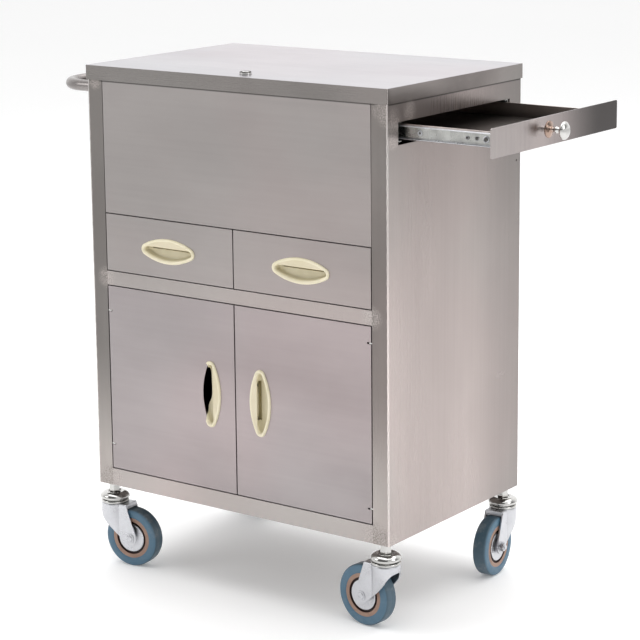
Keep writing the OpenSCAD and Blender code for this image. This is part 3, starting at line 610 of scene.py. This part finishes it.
def slides():
    """Drawer slides: dull speckled webs, and lips painted brighter as highlights."""
    for node in ("tray_slide_outer", "drawer_slide_outer", "tray_slide_inner", "drawer_left_slide_inner",
                 "drawer_right_slide_inner"):
        obj = soften(node, "slide", ((lasting(100), 0.5, 2), (every, 0.15, 1)))
        low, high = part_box(node)
        middle, half = (low.z + high.z) / 2, (high.z - low.z) / 2
        # The lips take the brighter zinc: a painted highlight.
        obj.data.materials.append(MATS["zinc"])
        for face in obj.data.polygons:
            face.material_index = int(abs(face.center.z - middle) > half - mm(1.6))


def finish_cad_nodes():
    """The nodes that keep their CAD shape: stem sockets, ball cages and the lid's buffers."""
    looks = {"bright_metal": "chrome", "black_rubber": "black"}
    for name, node in NODES.items():
        if node.hide_render:
            continue
        node.data.materials.clear()
        node.data.materials.append(MATS[looks[SLOT_OF[name]]])


# --- casters ---

# Sizes in millimetres, and heights above the floor. The fork's X runs from its stem to its axle.
TRAIL = 38.0
WHEEL_HALF = 12.5
CORE_R = 35.4
GROOVE_R = 28.3
HEAD_R = 23.5
LEG_Y = 17.0
PLATE_TOP = 108.6
PLATE_END = 32
FORK_T = 2.5
SHOULDER = 2.5
FOLD_X = math.sqrt(HEAD_R ** 2 - LEG_Y ** 2)
BOSS_R = 12.5
CAP_LOW = 114.9
STEM_TOP = 182
NUT_TOP = 143


def caster_places(tag):
    """The caster's own axes (origin on the floor under its stem, X along the trail) and its wheel's,
    whose Z is the axle."""
    stem = Vector(JOINTS[f"caster_{tag}_swivel_turn"]["pos_m"])
    hub = Vector(JOINTS[f"caster_{tag}_wheel_turn"]["pos_m"])
    yaw = Matrix.Rotation(math.atan2(hub.y - stem.y, hub.x - stem.x), 4, "Z")
    return Matrix.Translation((stem.x, stem.y, 0)) @ yaw, Matrix.Translation(hub) @ yaw @ turned(90, "X")


def leg_low(x):
    """Height of the fork's lower edge at a distance along the trail, in millimetres."""
    boss = TRAIL - 9
    if x > boss:
        return WHEEL_R - math.sqrt(max(BOSS_R ** 2 - (x - TRAIL) ** 2, 0))
    knots = [(-HEAD_R, 97), (-21, 95), (-17, 89), (-11, 79), (-2, 68.5), (10, 57.5), (boss, 41.4)]
    for (x0, z0), (x1, z1) in zip(knots, knots[1:]):
        if x <= x1:
            return z0 + (z1 - z0) * (x - x0) / (x1 - x0)
    return knots[-1][1]


def leg_high(x):
    """Height of the fork's upper edge, which slopes down behind the plate."""
    return PLATE_TOP - SHOULDER - max(x - PLATE_END, 0) * 52 / 18.5


def fork_columns():
    """Plan points of one half of the fork, from the leg's back end round to the middle of the front,
    each with whether it is on the round head."""
    leg_end = TRAIL + BOSS_R
    spots = [leg_end - 0.15, leg_end - 1.2, leg_end - 3, leg_end - 6, 41, 38, 34, PLATE_END, 30, 27, 24, 20,
             FOLD_X + 0.7, FOLD_X]
    flat = [(x, LEG_Y, False) for x in spots]
    first = math.degrees(math.asin(LEG_Y / HEAD_R))
    steps = 14
    turns = [math.radians(first + (180 - first) * k / steps) for k in range(1, steps + 1)]
    return flat + [(HEAD_R * math.cos(a), HEAD_R * math.sin(a), True) for a in turns]


def fork_point(x, y, on_head, share):
    """A point of the fork's sheet, share of the way down from its upper edge. The round head narrows
    to the width of the legs on the way down."""
    z = leg_high(x) + (leg_low(x) - leg_high(x)) * share
    if on_head and x > -FOLD_X:
        narrow, wide = 58, PLATE_TOP - 8
        fall = max(0.0, min(1.0, (z - narrow) / (wide - narrow)))
        y = LEG_Y + (y - LEG_Y) * (0.1 + 0.9 * fall * fall * (3 - 2 * fall))
    return Vector((mm(x), mm(y), mm(z)))


def fork_wall(columns, rows):
    """The fork's upright wall, a line of points down each column, creased where the legs meet the
    round head."""
    crease = 0.7
    grid = []
    for x, y, on_head in columns:
        line = [fork_point(x, abs(y), on_head, k / (rows - 1)) for k in range(rows)]
        for point in line:
            if x == FOLD_X:
                point.y -= mm(crease)
            point.y *= 1 if y >= 0 else -1
        grid.append(line)
    return grid


def fork_shoulder(x, y, on_head, rim):
    """Points that roll over from the top of the wall to the flat plate, or none behind the plate."""
    if x > PLATE_END + 0.5:
        return []
    inward = -Vector((x, y, 0)).normalized() if on_head else Vector((0, -1 if y > 0 else 1, 0))
    turns = [math.radians(turn) for turn in (30, 60, 90)]
    return [rim + inward * mm(SHOULDER) * (1 - math.cos(a)) + Vector((0, 0, mm(SHOULDER) * math.sin(a)))
            for a in turns]


def fork_sheet():
    """The pressed fork: two legs that wrap round under the head, and the plate over the wheel."""
    bm = bmesh.new()
    half = fork_columns()
    columns = half + [(x, -y, on_head) for x, y, on_head in reversed(half[:-1])]
    rows = 9
    lines = []
    for column, wall in zip(columns, fork_wall(columns, rows)):
        roll = fork_shoulder(*column, wall[0])
        lines.append([bm.verts.new(point) for point in [*reversed(roll), *wall]])
    for a, b in zip(lines, lines[1:]):
        for k in range(1, min(len(a), len(b))):
            bm.faces.new((a[-k - 1], a[-k], b[-k], b[-k - 1]))
    bm.faces.new([line[0] for line in lines if len(line) > rows])
    return bm


def fork_pressing(node, body, place):
    fork = piece(f"{node}_pressing", fork_sheet(), body, "zinc", "zinc", place=place)
    modify(fork, "wall", "SOLIDIFY", thickness=mm(FORK_T), offset=-1, use_even_offset=True)
    modify(fork, "rim", "BEVEL", width=mm(0.5), segments=2, limit_method="ANGLE",
           angle_limit=math.radians(50))
    fork.modifiers.move(0, len(fork.modifiers) - 1)
    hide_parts(node)


def swivel_race(node, body, place):
    """The rounded bearing race on the fork's plate, under the cap."""
    bm = bmesh.new()
    inner = 7.5
    outline = [(inner, -0.3), (HEAD_R - 1.0, -0.3), (HEAD_R - 0.1, 0.4), (HEAD_R + 0.4, 1.4),
               (HEAD_R + 0.4, 2.6), (HEAD_R - 0.1, 3.6), (HEAD_R - 1.2, 4.3), (HEAD_R - 3.4, 4.6),
               (HEAD_R - 3.4, 5.9), (inner, 5.9)]
    lathe(bm, [(radius, PLATE_TOP + rise) for radius, rise in outline], closed=True)
    piece(f"{node}_race", bm, body, "zinc", "chrome", place=place)


def rear_lip(node, body, place):
    """The lip that folds down behind the plate, over the tyre, with its turned lower edge."""
    bm = bmesh.new()
    width = LEG_Y - 2.2
    low_edge = 101.2
    for low, high in (((31.2, -width, low_edge), (33.4, width, PLATE_TOP - 0.2)),
                      ((30.4, -width, low_edge), (34.6, width, low_edge + 1.4))):
        edges = list({e for v in block(bm, low, high) for e in v.link_edges})
        bmesh.ops.bevel(bm, geom=edges, offset=mm(0.5), segments=2, profile=0.5, affect="EDGES")
    piece(f"{node}_rear_lip", bm, body, "zinc", "zinc", place=place)


def axle_bolt(node, body, wheel):
    """Low round head on one side, nut and thread end on the other, a washer under each."""
    bm = bmesh.new()
    seat = LEG_Y + 0.05
    rest = seat + 1.1
    washer = [(4.2, seat), (8.6, seat), (8.8, seat + 0.3), (8.6, rest), (4.2, rest)]
    for side in (1, -1):
        lathe(bm, washer, closed=True, place=Matrix.Scale(side, 4, (0, 0, 1)))
    lathe(bm, [(0, rest + 1.0), (2.2, rest + 1.0), (2.6, rest + 1.5), (4.4, rest + 1.8), (5.6, rest + 1.4),
               (6.2, rest + 0.6), (6.2, rest), (0, rest)], steps=48)
    hex_nut(bm, 13, -rest - 5.5, -rest, 0.7, bore=4.0)
    end = -seat - 9
    thread = [(0, end), (3.4, end), (4.0, end + 0.7)]
    for k in range(4):
        thread += [(4.0, end + 1.0 + k * 0.7), (3.7, end + 1.35 + k * 0.7)]
    lathe(bm, thread + [(4.0, -seat), (4.0, rest), (0, rest)], steps=32)
    piece(f"{node}_axle_bolt", bm, body, "zinc", "zinc", place=wheel)


def caster_fork(tag):
    place, wheel = caster_places(tag)
    if tag == "fr":
        wheel = wheel @ turned(180, "X")  # its bolt is put in from the other side
    node = f"caster_{tag}_fork"
    body = f"caster_{tag}_swivel"
    fork_pressing(node, body, place)
    swivel_race(node, body, place)
    rear_lip(node, body, place)
    axle_bolt(node, body, wheel)


def tyre(tag, body, wheel):
    """The tyre: flat sidewalls, round shoulders and a tread with a shallow groove in its middle."""
    bm = bmesh.new()
    half = WHEEL_HALF
    side = [(CORE_R, half - 0.9), (CORE_R + 1.2, half - 0.5), (CORE_R + 2.2, half - 0.1),
            (CORE_R + 3.4, half), (43.0, half), (WHEEL_R - 5.6, half - 0.1)]
    side += [(WHEEL_R - 5.4 + 5.4 * math.sin(a), half - 4.2 + 4.1 * math.cos(a))
             for a in (math.radians(t) for t in (12, 25, 38, 50, 62, 74, 84))]
    tread = [(WHEEL_R, half - 4.6), (WHEEL_R, 2.2), (WHEEL_R - 0.25, 1.6), (WHEEL_R - 0.25, 0.9)]
    lathe(bm, mirrored(side + tread), steps=128, closed=True)
    ring = piece(f"caster_{tag}_tyre_ring", bm, body, "wheel_rubber", "tyre", place=wheel, own_axes=True)
    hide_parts(f"caster_{tag}_tyre")


def wheel_centre(tag, body, wheel):
    """The moulded centre, its wide middle sunk behind the bearing covers and painted dark: painted shade.
    """
    bm = bmesh.new()
    rim = [(4.2, 5), (24.6, 5), (24.6, 4.6), (27.9, 4.4), (28.6, 1.2), (29.2, 0.7), (31.4, 0.6),
           (31.8, 0.9), (32.6, 0.9), (33.0, 0.6), (34.9, 0.7), (CORE_R, 1.0)]
    lathe(bm, mirrored([(radius, WHEEL_HALF - depth) for radius, depth in rim]), closed=True)
    for face in bm.faces:
        spot = face.calc_center_median()
        # The sunk middle takes the near black copy: painted shade.
        face.material_index = int(math.hypot(spot.x, spot.y) < mm(GROOVE_R))
    core = piece(f"caster_{tag}_centre", bm, body, "wheel_core", "tan", "shadow", place=wheel,
                 own_axes=True)
    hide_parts(f"caster_{tag}_core")


def bearing_covers(tag, body, wheel):
    """A pressed cover with a raised hub on each side of the wheel."""
    bm = bmesh.new()
    cover = [(4.3, -2.5), (24.4, -2.5), (24.5, -1.6), (23.9, -1.1), (22.6, -0.9), (21.5, -1.5),
             (17.0, -1.6), (12.5, -1.2), (11.0, -0.1), (10.2, 0.7), (9.4, 1.0), (4.3, 1.0)]
    outline = [(radius, WHEEL_HALF + rise) for radius, rise in cover]
    for side in (1, -1):
        lathe(bm, outline, closed=True, place=Matrix.Scale(side, 4, (0, 0, 1)))
    piece(f"caster_{tag}_bearing_covers", bm, body, "wheel_core", "zinc", place=wheel)


def caster_wheel(tag):
    _, wheel = caster_places(tag)
    for part in (tyre, wheel_centre, bearing_covers):
        part(tag, f"caster_{tag}_wheel", wheel)


def caster_cap(tag, place):
    """Chrome cap over the swivel bearing, rolled at its skirt and dished on top."""
    bm = bmesh.new()
    outer = [(22.6, 0), (24.2, 0.5), (25.1, 1.7), (25.2, 3.2), (24.9, 4.6), (24.0, 6.4), (22.4, 8.1),
             (20.2, 9.6), (17.8, 10.7), (15.6, 11.2), (13.8, 11.2), (12.5, 10.7), (11.6, 9.9), (11.0, 9.1),
             (6.1, 9.0)]
    inner = [(6.1, 7.8), (11.0, 7.8), (14.0, 9.6), (19.4, 8.2), (23.0, 5.2), (23.4, 2.4), (21.8, 0.3)]
    lathe(bm, [(radius, CAP_LOW + rise) for radius, rise in outer + inner], closed=True)
    return piece(f"caster_{tag}_cap", bm, "cabinet", "bright_metal", "chrome", place=place)


def caster_stem(tag, place):
    """The stem, its flange under the plate and the nut that locks it above the cap."""
    bm = bmesh.new()
    low = 100
    top = PLATE_TOP - 2.8
    lathe(bm, [(0, low), (5.4, low), (6.0, low + 0.6), (6.0, STEM_TOP), (0, STEM_TOP)], steps=40)
    lathe(bm, [(0, low + 1), (8.2, low + 1), (9.0, low + 1.8), (9.0, top), (0, top)], steps=48)
    hex_nut(bm, 17, CAP_LOW + 9.0, NUT_TOP, 1.2, bore=6.02)
    return piece(f"caster_{tag}_stem_and_nut", bm, "cabinet", "bright_metal", "chrome", place=place)


def casters():
    for tag in ("fl", "fr", "rl", "rr"):
        caster_fork(tag)
        caster_wheel(tag)
        stem_at = Vector(JOINTS[f"caster_{tag}_swivel_turn"]["pos_m"])
        place = Matrix.Translation((stem_at.x, stem_at.y, 0))
        cap = caster_cap(tag, place)
        stem = caster_stem(tag, place)
        if tag == "fl":
            # One CAD node holds all four caps, and one all four stems.
            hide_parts("caster_caps")
            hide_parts("caster_stems")


# --- oval pulls ---

# Sizes in millimetres. A pull's own X runs along it and its Z out of the front, whose face is at 0.
PULL_L = 111.0
PULL_W = 42.0
PULL_END_R = 10.0
PULL_STEPS = 120
LIP_EDGE = 5.6
SLOT_TOP = LIP_EDGE + 5.5
DISH_FLOOR = -8.4
DRAWER_SLOT = (-40.0, 41.0, 1.4)
DOOR_SLOT = (-30.0, 35.5, 4.0)


def oval_point(turn, inset):
    """Point of the pull's outline, moved in by inset, at an angle from the long axis. The outline is
    two shallow arcs that run into round ends."""
    a = PULL_L / 2 - inset
    b = PULL_W / 2 - inset
    end = max(PULL_END_R - inset, 2.0)
    side = ((a - end) ** 2 + b * b - end * end) / (2 * (b - end))
    meet = math.atan2(side - b, a - end)
    quarter = math.atan2(abs(math.sin(turn)), abs(math.cos(turn))) / (math.pi / 2)
    end_share = 0.4
    if quarter < end_share:
        phi = meet * quarter / end_share
        x, y = a - end + end * math.cos(phi), end * math.sin(phi)
    else:
        phi = meet + (math.pi / 2 - meet) * (quarter - end_share) / (1 - end_share)
        x, y = side * math.cos(phi), b - side + side * math.sin(phi)
    return math.copysign(x, math.cos(turn)), math.copysign(y, math.sin(turn))


def oval_points(inset, steps):
    return [oval_point(2 * math.pi * (i + 0.5) / steps, inset) for i in range(steps)]


def pull_dish(bm):
    """Rolled rim, sloping wall and flat floor of the dish, 1.4 mm thick, as (inset, height) points."""
    face = [(0.0, 0.0), (0.0, 0.9), (0.3, 1.9), (1.0, 2.7), (2.0, 3.0), (3.3, 2.9), (4.4, 2.45), (5.2, 1.6),
            (5.8, 0.4), (6.3, -2.0), (6.9, -4.6), (8.0, -6.8), (9.6, -8.0), (11.6, DISH_FLOOR),
            (14.0, DISH_FLOOR)]
    back = [(14.0, -9.8), (10.8, -9.8), (8.6, -9.3), (7.0, -8.2), (6.0, -6.0), (5.4, -3.0), (5.2, 0.0)]
    rows = [[bm.verts.new((mm(x), mm(y), mm(height))) for x, y in oval_points(inset, PULL_STEPS)]
            for inset, height in face + back]
    cut = len(face)
    ring_faces(bm, rows[:cut], caps=(False, True))
    ring_faces(bm, rows[cut:], caps=(True, False))
    ring_faces(bm, [rows[-1], rows[0]])


def pull_lip(bm):
    """The lip: a plate over the +Y part of the dish, crowned, with a rolled straight edge."""
    span = sorted((spot for spot in oval_points(3.6, 2 * PULL_STEPS) if spot[1] > LIP_EDGE), reverse=True)
    half = span[0][0]
    roll = [(0.0, 1.9), (-0.55, 1.65), (-0.8, 1.1), (-0.55, 0.55), (0.0, 0.3)]
    columns = []
    for x, y in span:
        rise = 0.25 * (1 - (x / half) ** 2)
        column = [(y, 2.55)]
        column += [(LIP_EDGE + (y - LIP_EDGE) * k, 2.15 + rise) for k in (0.8, 0.5, 0.2)]
        column += [(LIP_EDGE + 0.8 + dy, z + rise + 0.2) for dy, z in roll]
        column.append((y, 0.5))
        columns.append([bm.verts.new((mm(x), mm(cy), mm(cz))) for cy, cz in column])
    ring_faces(bm, columns, caps=(True, True))


def pull_slot(bm, x0, x1, y0):
    """The closed box behind the slot in the dish's floor: a floor and four walls."""
    y1 = SLOT_TOP
    wall = 1.2
    bottom, floor_top, top = -14.5, -13.3, -9.9
    for low, high in (((x0 - wall, y0 - wall, bottom), (x1 + wall, y1 + wall, floor_top)),
                      ((x0 - wall, y0 - wall, floor_top), (x0, y1 + wall, top)),
                      ((x1, y0 - wall, floor_top), (x1 + wall, y1 + wall, top)),
                      ((x0, y0 - wall, floor_top), (x1, y0, top)),
                      ((x0, y1, floor_top), (x1, y1 + wall, top))):
        block(bm, low, high)


def cut_away(obj, bm, place):
    """Takes a closed cutter, drawn in the piece's own axes, out of a piece that was put at place."""
    bmesh.ops.transform(bm, matrix=place, verts=bm.verts)
    bmesh.ops.recalc_face_normals(bm, faces=bm.faces)
    cutter = in_scene("cutter", mesh_from("cutter", bm))
    cut = modify(obj, "cut", "BOOLEAN", object=cutter, operation="DIFFERENCE", solver="EXACT")
    obj.modifiers.move(len(obj.modifiers) - 1, 0)
    weighted = obj.modifiers["even_normals"]
    weighted.show_viewport = False
    bpy.context.view_layer.update()
    graph = bpy.context.evaluated_depsgraph_get()
    cut_mesh = bpy.data.meshes.new_from_object(obj.evaluated_get(graph), depsgraph=graph)
    obj.modifiers.remove(cut)
    weighted.show_viewport = True
    obj.data = cut_mesh
    obj.data.shade_smooth()
    obj.data.set_sharp_from_angle(angle=SHARP_SHADING)
    bpy.data.objects.remove(cutter)


def crescent(bm):
    """Cutter for the open -Y side of the left door's pull, whose edge bellies out near its middle."""
    edge = [(-52.5, -14.0), (-51.7, -6.5), (-50.0, -4.3), (-44.0, -4.6), (-34.0, -4.8), (-22.0, -4.1),
            (-9.0, -3.7), (2.0, -3.9), (8.0, -5.0), (13.0, -7.4), (17.0, -9.6), (22.0, -10.4), (31.0, -9.4),
            (38.0, -8.6), (44.0, -8.4), (47.0, -9.4), (48.0, -14.0)]
    outside = [(48.0, -27.0), (-52.5, -27.0)]
    rows = [[bm.verts.new((mm(x), mm(y), mm(z))) for x, y in edge + outside] for z in (-30, 30)]
    ring_faces(bm, rows, caps=(True, True))


def pull(node, spot, turn, slot, open_side=False):
    """A pull at a spot, its long axis turned; the slot is its two ends and its lower edge."""
    place = Matrix.Translation(spot) @ turned(90, "X") @ turned(turn, "Z")
    body = BODY_OF[node]
    start, end, low = slot
    bm = bmesh.new()
    pull_dish(bm)
    for face in bm.faces:
        # Faces deep in the dish take the darker pocket copy: painted shade.
        face.material_index = int(face.calc_center_median().z < mm(-1.5))
    dish = piece(f"{node}_dish", bm, body, "cream_plastic", "cream", "pocket", place=place)
    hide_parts(node)
    cutter = bmesh.new()
    block(cutter, (start, low, -12.0), (end, SLOT_TOP, -5.0))
    if open_side:
        crescent(cutter)
    cut_away(dish, cutter, place)
    bm = bmesh.new()
    pull_lip(bm)
    # The lip takes a darker copy of the cream plastic: painted shade.
    piece(f"{node}_lip", bm, body, "cream_plastic", "lip", place=place)
    bm = bmesh.new()
    pull_slot(bm, *slot)
    # The slot box takes a dark olive copy: painted shade under the lip.
    piece(f"{node}_slot_box", bm, body, "cream_plastic", "slot", place=place)


def pulls():
    drawer_z, door_z = 420.5, 193
    pull("drawer_left_pull", at(164.5, 0, drawer_z), 0, DRAWER_SLOT)
    pull("drawer_right_pull", at(434.5, 0, drawer_z), 0, DRAWER_SLOT)
    pull("door_left_pull", at(248.8, 0, door_z), -90, DOOR_SLOT, open_side=True)
    pull("door_right_pull", at(351.2, 0, door_z), 90, DOOR_SLOT)


# --- knob, handle, small fittings ---


def knob():
    """The tray's turned knob, its rosette of a warmer chrome, and its screw's head in the tray."""
    low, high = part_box("tray_knob")
    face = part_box("tray_front")[1].x
    centre = Vector((face, (low.y + high.y) / 2, (low.z + high.z) / 2))
    place = Matrix.Translation(centre) @ turned(90, "Y")
    bm = bmesh.new()
    rosette = [(0, 0.0), (13.0, 0.0), (13.2, 0.5), (12.8, 1.2), (11.6, 1.5), (10.8, 2.2), (9.2, 2.9),
               (7.4, 3.5), (6.2, 4.4), (5.2, 5.2), (4.0, 6.2), (3.4, 7.6), (3.3, 8.8)]
    bead = [(3.3 + 1.9 * math.sin(a), 12.9 - 3.3 * math.cos(a))
            for a in (math.radians(turn) for turn in range(20, 161, 20))]
    neck = [(3.4, 17.0), (3.4, 18.2), (4.4, 19.2), (6.4, 20.4), (9.6, 22.0), (12.4, 23.9)]
    head = [(13.6, 25.2), (14.0, 26.4), (13.9, 27.4), (13.2, 28.6), (11.6, 30.2), (9.2, 31.6), (6.2, 32.5),
            (3.0, 32.9), (0, 33.0)]
    lathe(bm, rosette + bead + neck + head, steps=72)
    for face in bm.faces:
        face.material_index = int(face.calc_center_median().z < mm(7))
    shape = piece("tray_knob_turned", bm, "tray", "bright_metal", "chrome", "copper_chrome", place=place)
    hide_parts("tray_knob")
    bm = bmesh.new()
    lathe(bm, [(0, -5.1), (3.4, -5.1), (4.0, -4.6), (4.0, -2.7), (0, -2.7)], steps=32)
    piece("tray_knob_screw_head", bm, "tray", "bright_metal", "zinc", place=place)


def lock():
    """The lock's bezel, its top ring painted dark as a reflection and the recess round its plug
    painted dark as shade; its barrel and the nut under the lid.
    """
    low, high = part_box("lock_body")
    place = Matrix.Translation(((low.x + high.x) / 2, (low.y + high.y) / 2, at(0, 0, CAB_H).z))
    bm = bmesh.new()
    lathe(bm, [(5.6, -18), (8.0, -18), (8.0, -2.4), (10.0, -2.4), (10.0, 2.4), (9.8, 3.3), (9.4, 4.2),
               (9.0, 4.7), (8.7, 4.6), (8.4, 4.0), (8.2, 2.2), (5.6, 2.2)], steps=64, closed=True)
    for face in bm.faces:
        spot = face.calc_center_median()
        far = math.hypot(spot.x, spot.y)
        on_top_ring_painted_reflection = spot.z > mm(3.4) and far > mm(8.2)
        in_recess_painted_shade = spot.z > 0 and far < mm(7)
        # The top ring is painted dark as a reflection and the recess near black as shade.
        face.material_index = 1 if on_top_ring_painted_reflection else 2 if in_recess_painted_shade else 0
    shape = piece("lock_body_turned", bm, "lid", "bright_metal", "chrome", "painted_dark", "shadow", place=place)
    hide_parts("lock_body")
    bm = bmesh.new()
    hex_nut(bm, 21.6, -5.4, -2.4, 0.5, bore=8.05)
    piece("lock_nut", bm, "lid", "bright_metal", "zinc", place=place)


def handle_weld(bm):
    """An uneven bead round the tube, standing on the flange; Z runs along the tube."""
    steps = 60
    tube_r, flange_top = 10.0, 3.2
    rows = []
    for k in range(steps):
        around = 2 * math.pi * k / steps
        swell = 0.9 * (1.5 + 0.22 * math.sin(k * math.pi / 2) + random.uniform(-0.08, 0.08))
        ring = []
        for turn in range(0, 360, 45):
            b = math.radians(turn)
            r = mm(tube_r + swell * math.cos(b))
            ring.append(bm.verts.new((r * math.cos(around), r * math.sin(around),
                                      mm(flange_top + swell * math.sin(b)))))
        rows.append(ring)
    ring_faces(bm, rows, closed_rows=True)


def handle():
    """The CAD handle, with a weld bead where its tube meets each flange."""
    soften("push_handle", "tube", ((every, 0.4, 2),))
    low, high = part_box("push_handle")
    inset = 18.0
    for index, y in enumerate((inset, CAB_D - inset)):
        spot = Vector((high.x, at(0, y, 0).y, (low.z + high.z) / 2))
        place = Matrix.Translation(spot) @ turned(-90, "Y")
        bm = bmesh.new()
        handle_weld(bm)
        piece(f"handle_weld_{index + 1}", bm, "cabinet", "tube_steel", "tube", place=place)


def tray_fittings():
    """Rivets and eyelets on the web of the tray's near slide member, each as its distance along the
    tray, its head's radius and its bright ring's width; the heads are painted dark as shade."""
    web_y = (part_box("tray_box")[0].y - CORNER.y) * 1000 - 1.25
    web_z = 648
    rows = ((606.4, 2.0, 0), (630.5, 1.9, 2.6), (714.5, 2.0, 1.0), (731.6, 2.4, 1.0), (747.7, 3.6, 1.8))
    for index, (x, radius, ring) in enumerate(rows):
        bm = bmesh.new()
        lathe(bm, [(0, 0.0), (0, 0.9), (radius * 0.6, 0.8), (radius * 0.95, 0.45), (radius, 0.0)], steps=32)
        if ring:
            lathe(bm, [(radius, 0.0), (radius + 0.1, 0.9), (radius + ring * 0.4, 1.2),
                       (radius + ring * 0.8, 0.9), (radius + ring, 0.0)], steps=40, closed=True, material=1)
        place = Matrix.Translation(at(x, web_y, web_z)) @ turned(90, "X")
        piece(f"tray_slide_rivet_{index + 1}", bm, "tray", "zinc", "painted_dark", "zinc", place=place)


def build():
    cabinet()
    lid()
    fronts_and_fittings()
    corner_seams()
    slides()
    casters()
    pulls()
    knob()
    lock()
    handle()
    tray_fittings()
    finish_cad_nodes()


# --- stage, lights and camera ---


def floor():
    bm = bmesh.new()
    bmesh.ops.create_grid(bm, x_segments=8, y_segments=8, size=20)
    obj = in_scene("studio_floor", mesh_from("studio_floor", bm))
    s = Surface("studio_floor")
    color = s.mix(s.spread(s.noise(0.7, 2, 0.5), 0, 1), (0.93, 0.93, 0.93), (0.94, 0.94, 0.94))
    obj.data.materials.append(s.finish(Base_Color=color, Roughness=0.8, Specular_IOR_Level=0.1,
                                       Emission_Color=(1, 1, 1), Emission_Strength=0.16))


def area_light(name, spot, aim, size, watts):
    data = bpy.data.lights.new(name, "AREA")
    data.shape = "RECTANGLE"
    data.size, data.size_y = size
    data.energy = watts
    lamp = in_scene(name, data)
    lamp.location = spot
    lamp.rotation_mode = "QUATERNION"
    lamp.rotation_quaternion = (Vector(aim) - Vector(spot)).to_track_quat("-Z", "Y")


def world():
    """A white studio: white round the horizon and behind, dimmer walls to the front and the right, a
    pale ceiling, and one small window high on the right."""
    sky = bpy.data.worlds.new("studio")
    bpy.context.scene.world = sky
    sky.use_nodes = True
    s = Wiring(sky.node_tree)
    way = s.coordinates["Generated"]
    height = s.add("ShaderNodeSeparateXYZ", Vector=way).outputs["Z"]

    def facing(direction):
        dot = s.add("ShaderNodeVectorMath", {"operation": "DOT_PRODUCT"})
        s.feed(dot.inputs[0], way)
        dot.inputs[1].default_value = Vector(direction).normalized()
        return dot.outputs["Value"]

    behind = s.between(facing((-0.6, 0.8, 0)), -0.35, 0.75)
    window = s.between(facing((0.75, -0.35, 0.5)), 0.94, 0.97, 0.0, 0.9)
    ceiling = s.between(height, 0.75, 0.95, 0.0, 0.55)
    wall = s.plus(0.16, s.times(behind, 1.2), window, ceiling)
    above = s.between(height, 0.04, 0.20)
    horizon = s.plus(1.0, s.times(behind, 0.35))
    level = s.plus(s.times(wall, above), s.times(horizon, s.math("SUBTRACT", 1.0, above)))
    background = sky.node_tree.nodes["Background"]
    s.feed(background.inputs["Strength"], level)
    s.feed(background.inputs["Color"], (1, 1, 1))


def lights():
    area_light("softbox_top", (0.1, 0.4, 3.4), (0, 0, 0.4), (4.4, 4.4), 90)
    area_light("softbox_right", (3.2, 0.2, 2.2), (0.2, 0, 0.5), (1.4, 2.0), 24)
    area_light("softbox_left", (-2.6, -2.8, 2.4), (0, 0, 0.5), (1.8, 1.8), 26)


# A 36 mm sensor's focal length, the place in metres, angles in degrees, shift in frame widths.
LENS = 123.36
CAMERA_AT = Vector((2.0823, -2.882, 1.2752))
CAMERA_HEADING = 36.294
CAMERA_DIP = 11.178
CAMERA_ROLL = -0.573
CAMERA_SHIFT = (0.0031, -0.125)


def camera():
    data = bpy.data.cameras.new("camera")
    data.sensor_width = 36.0
    data.lens = LENS
    data.shift_x, data.shift_y = CAMERA_SHIFT
    data.clip_end = 60
    cam = in_scene("camera", data)
    cam.matrix_world = (Matrix.Translation(CAMERA_AT)
                        @ turned(CAMERA_HEADING, "Z")
                        @ turned(90 - CAMERA_DIP, "X")
                        @ turned(CAMERA_ROLL, "Z"))
    bpy.context.scene.camera = cam


def stage():
    floor()
    world()
    lights()
    camera()
    view = bpy.context.scene.view_settings
    view.view_transform = "Standard"
    view.look = "None"
    view.exposure = 0.0


build()
stage()
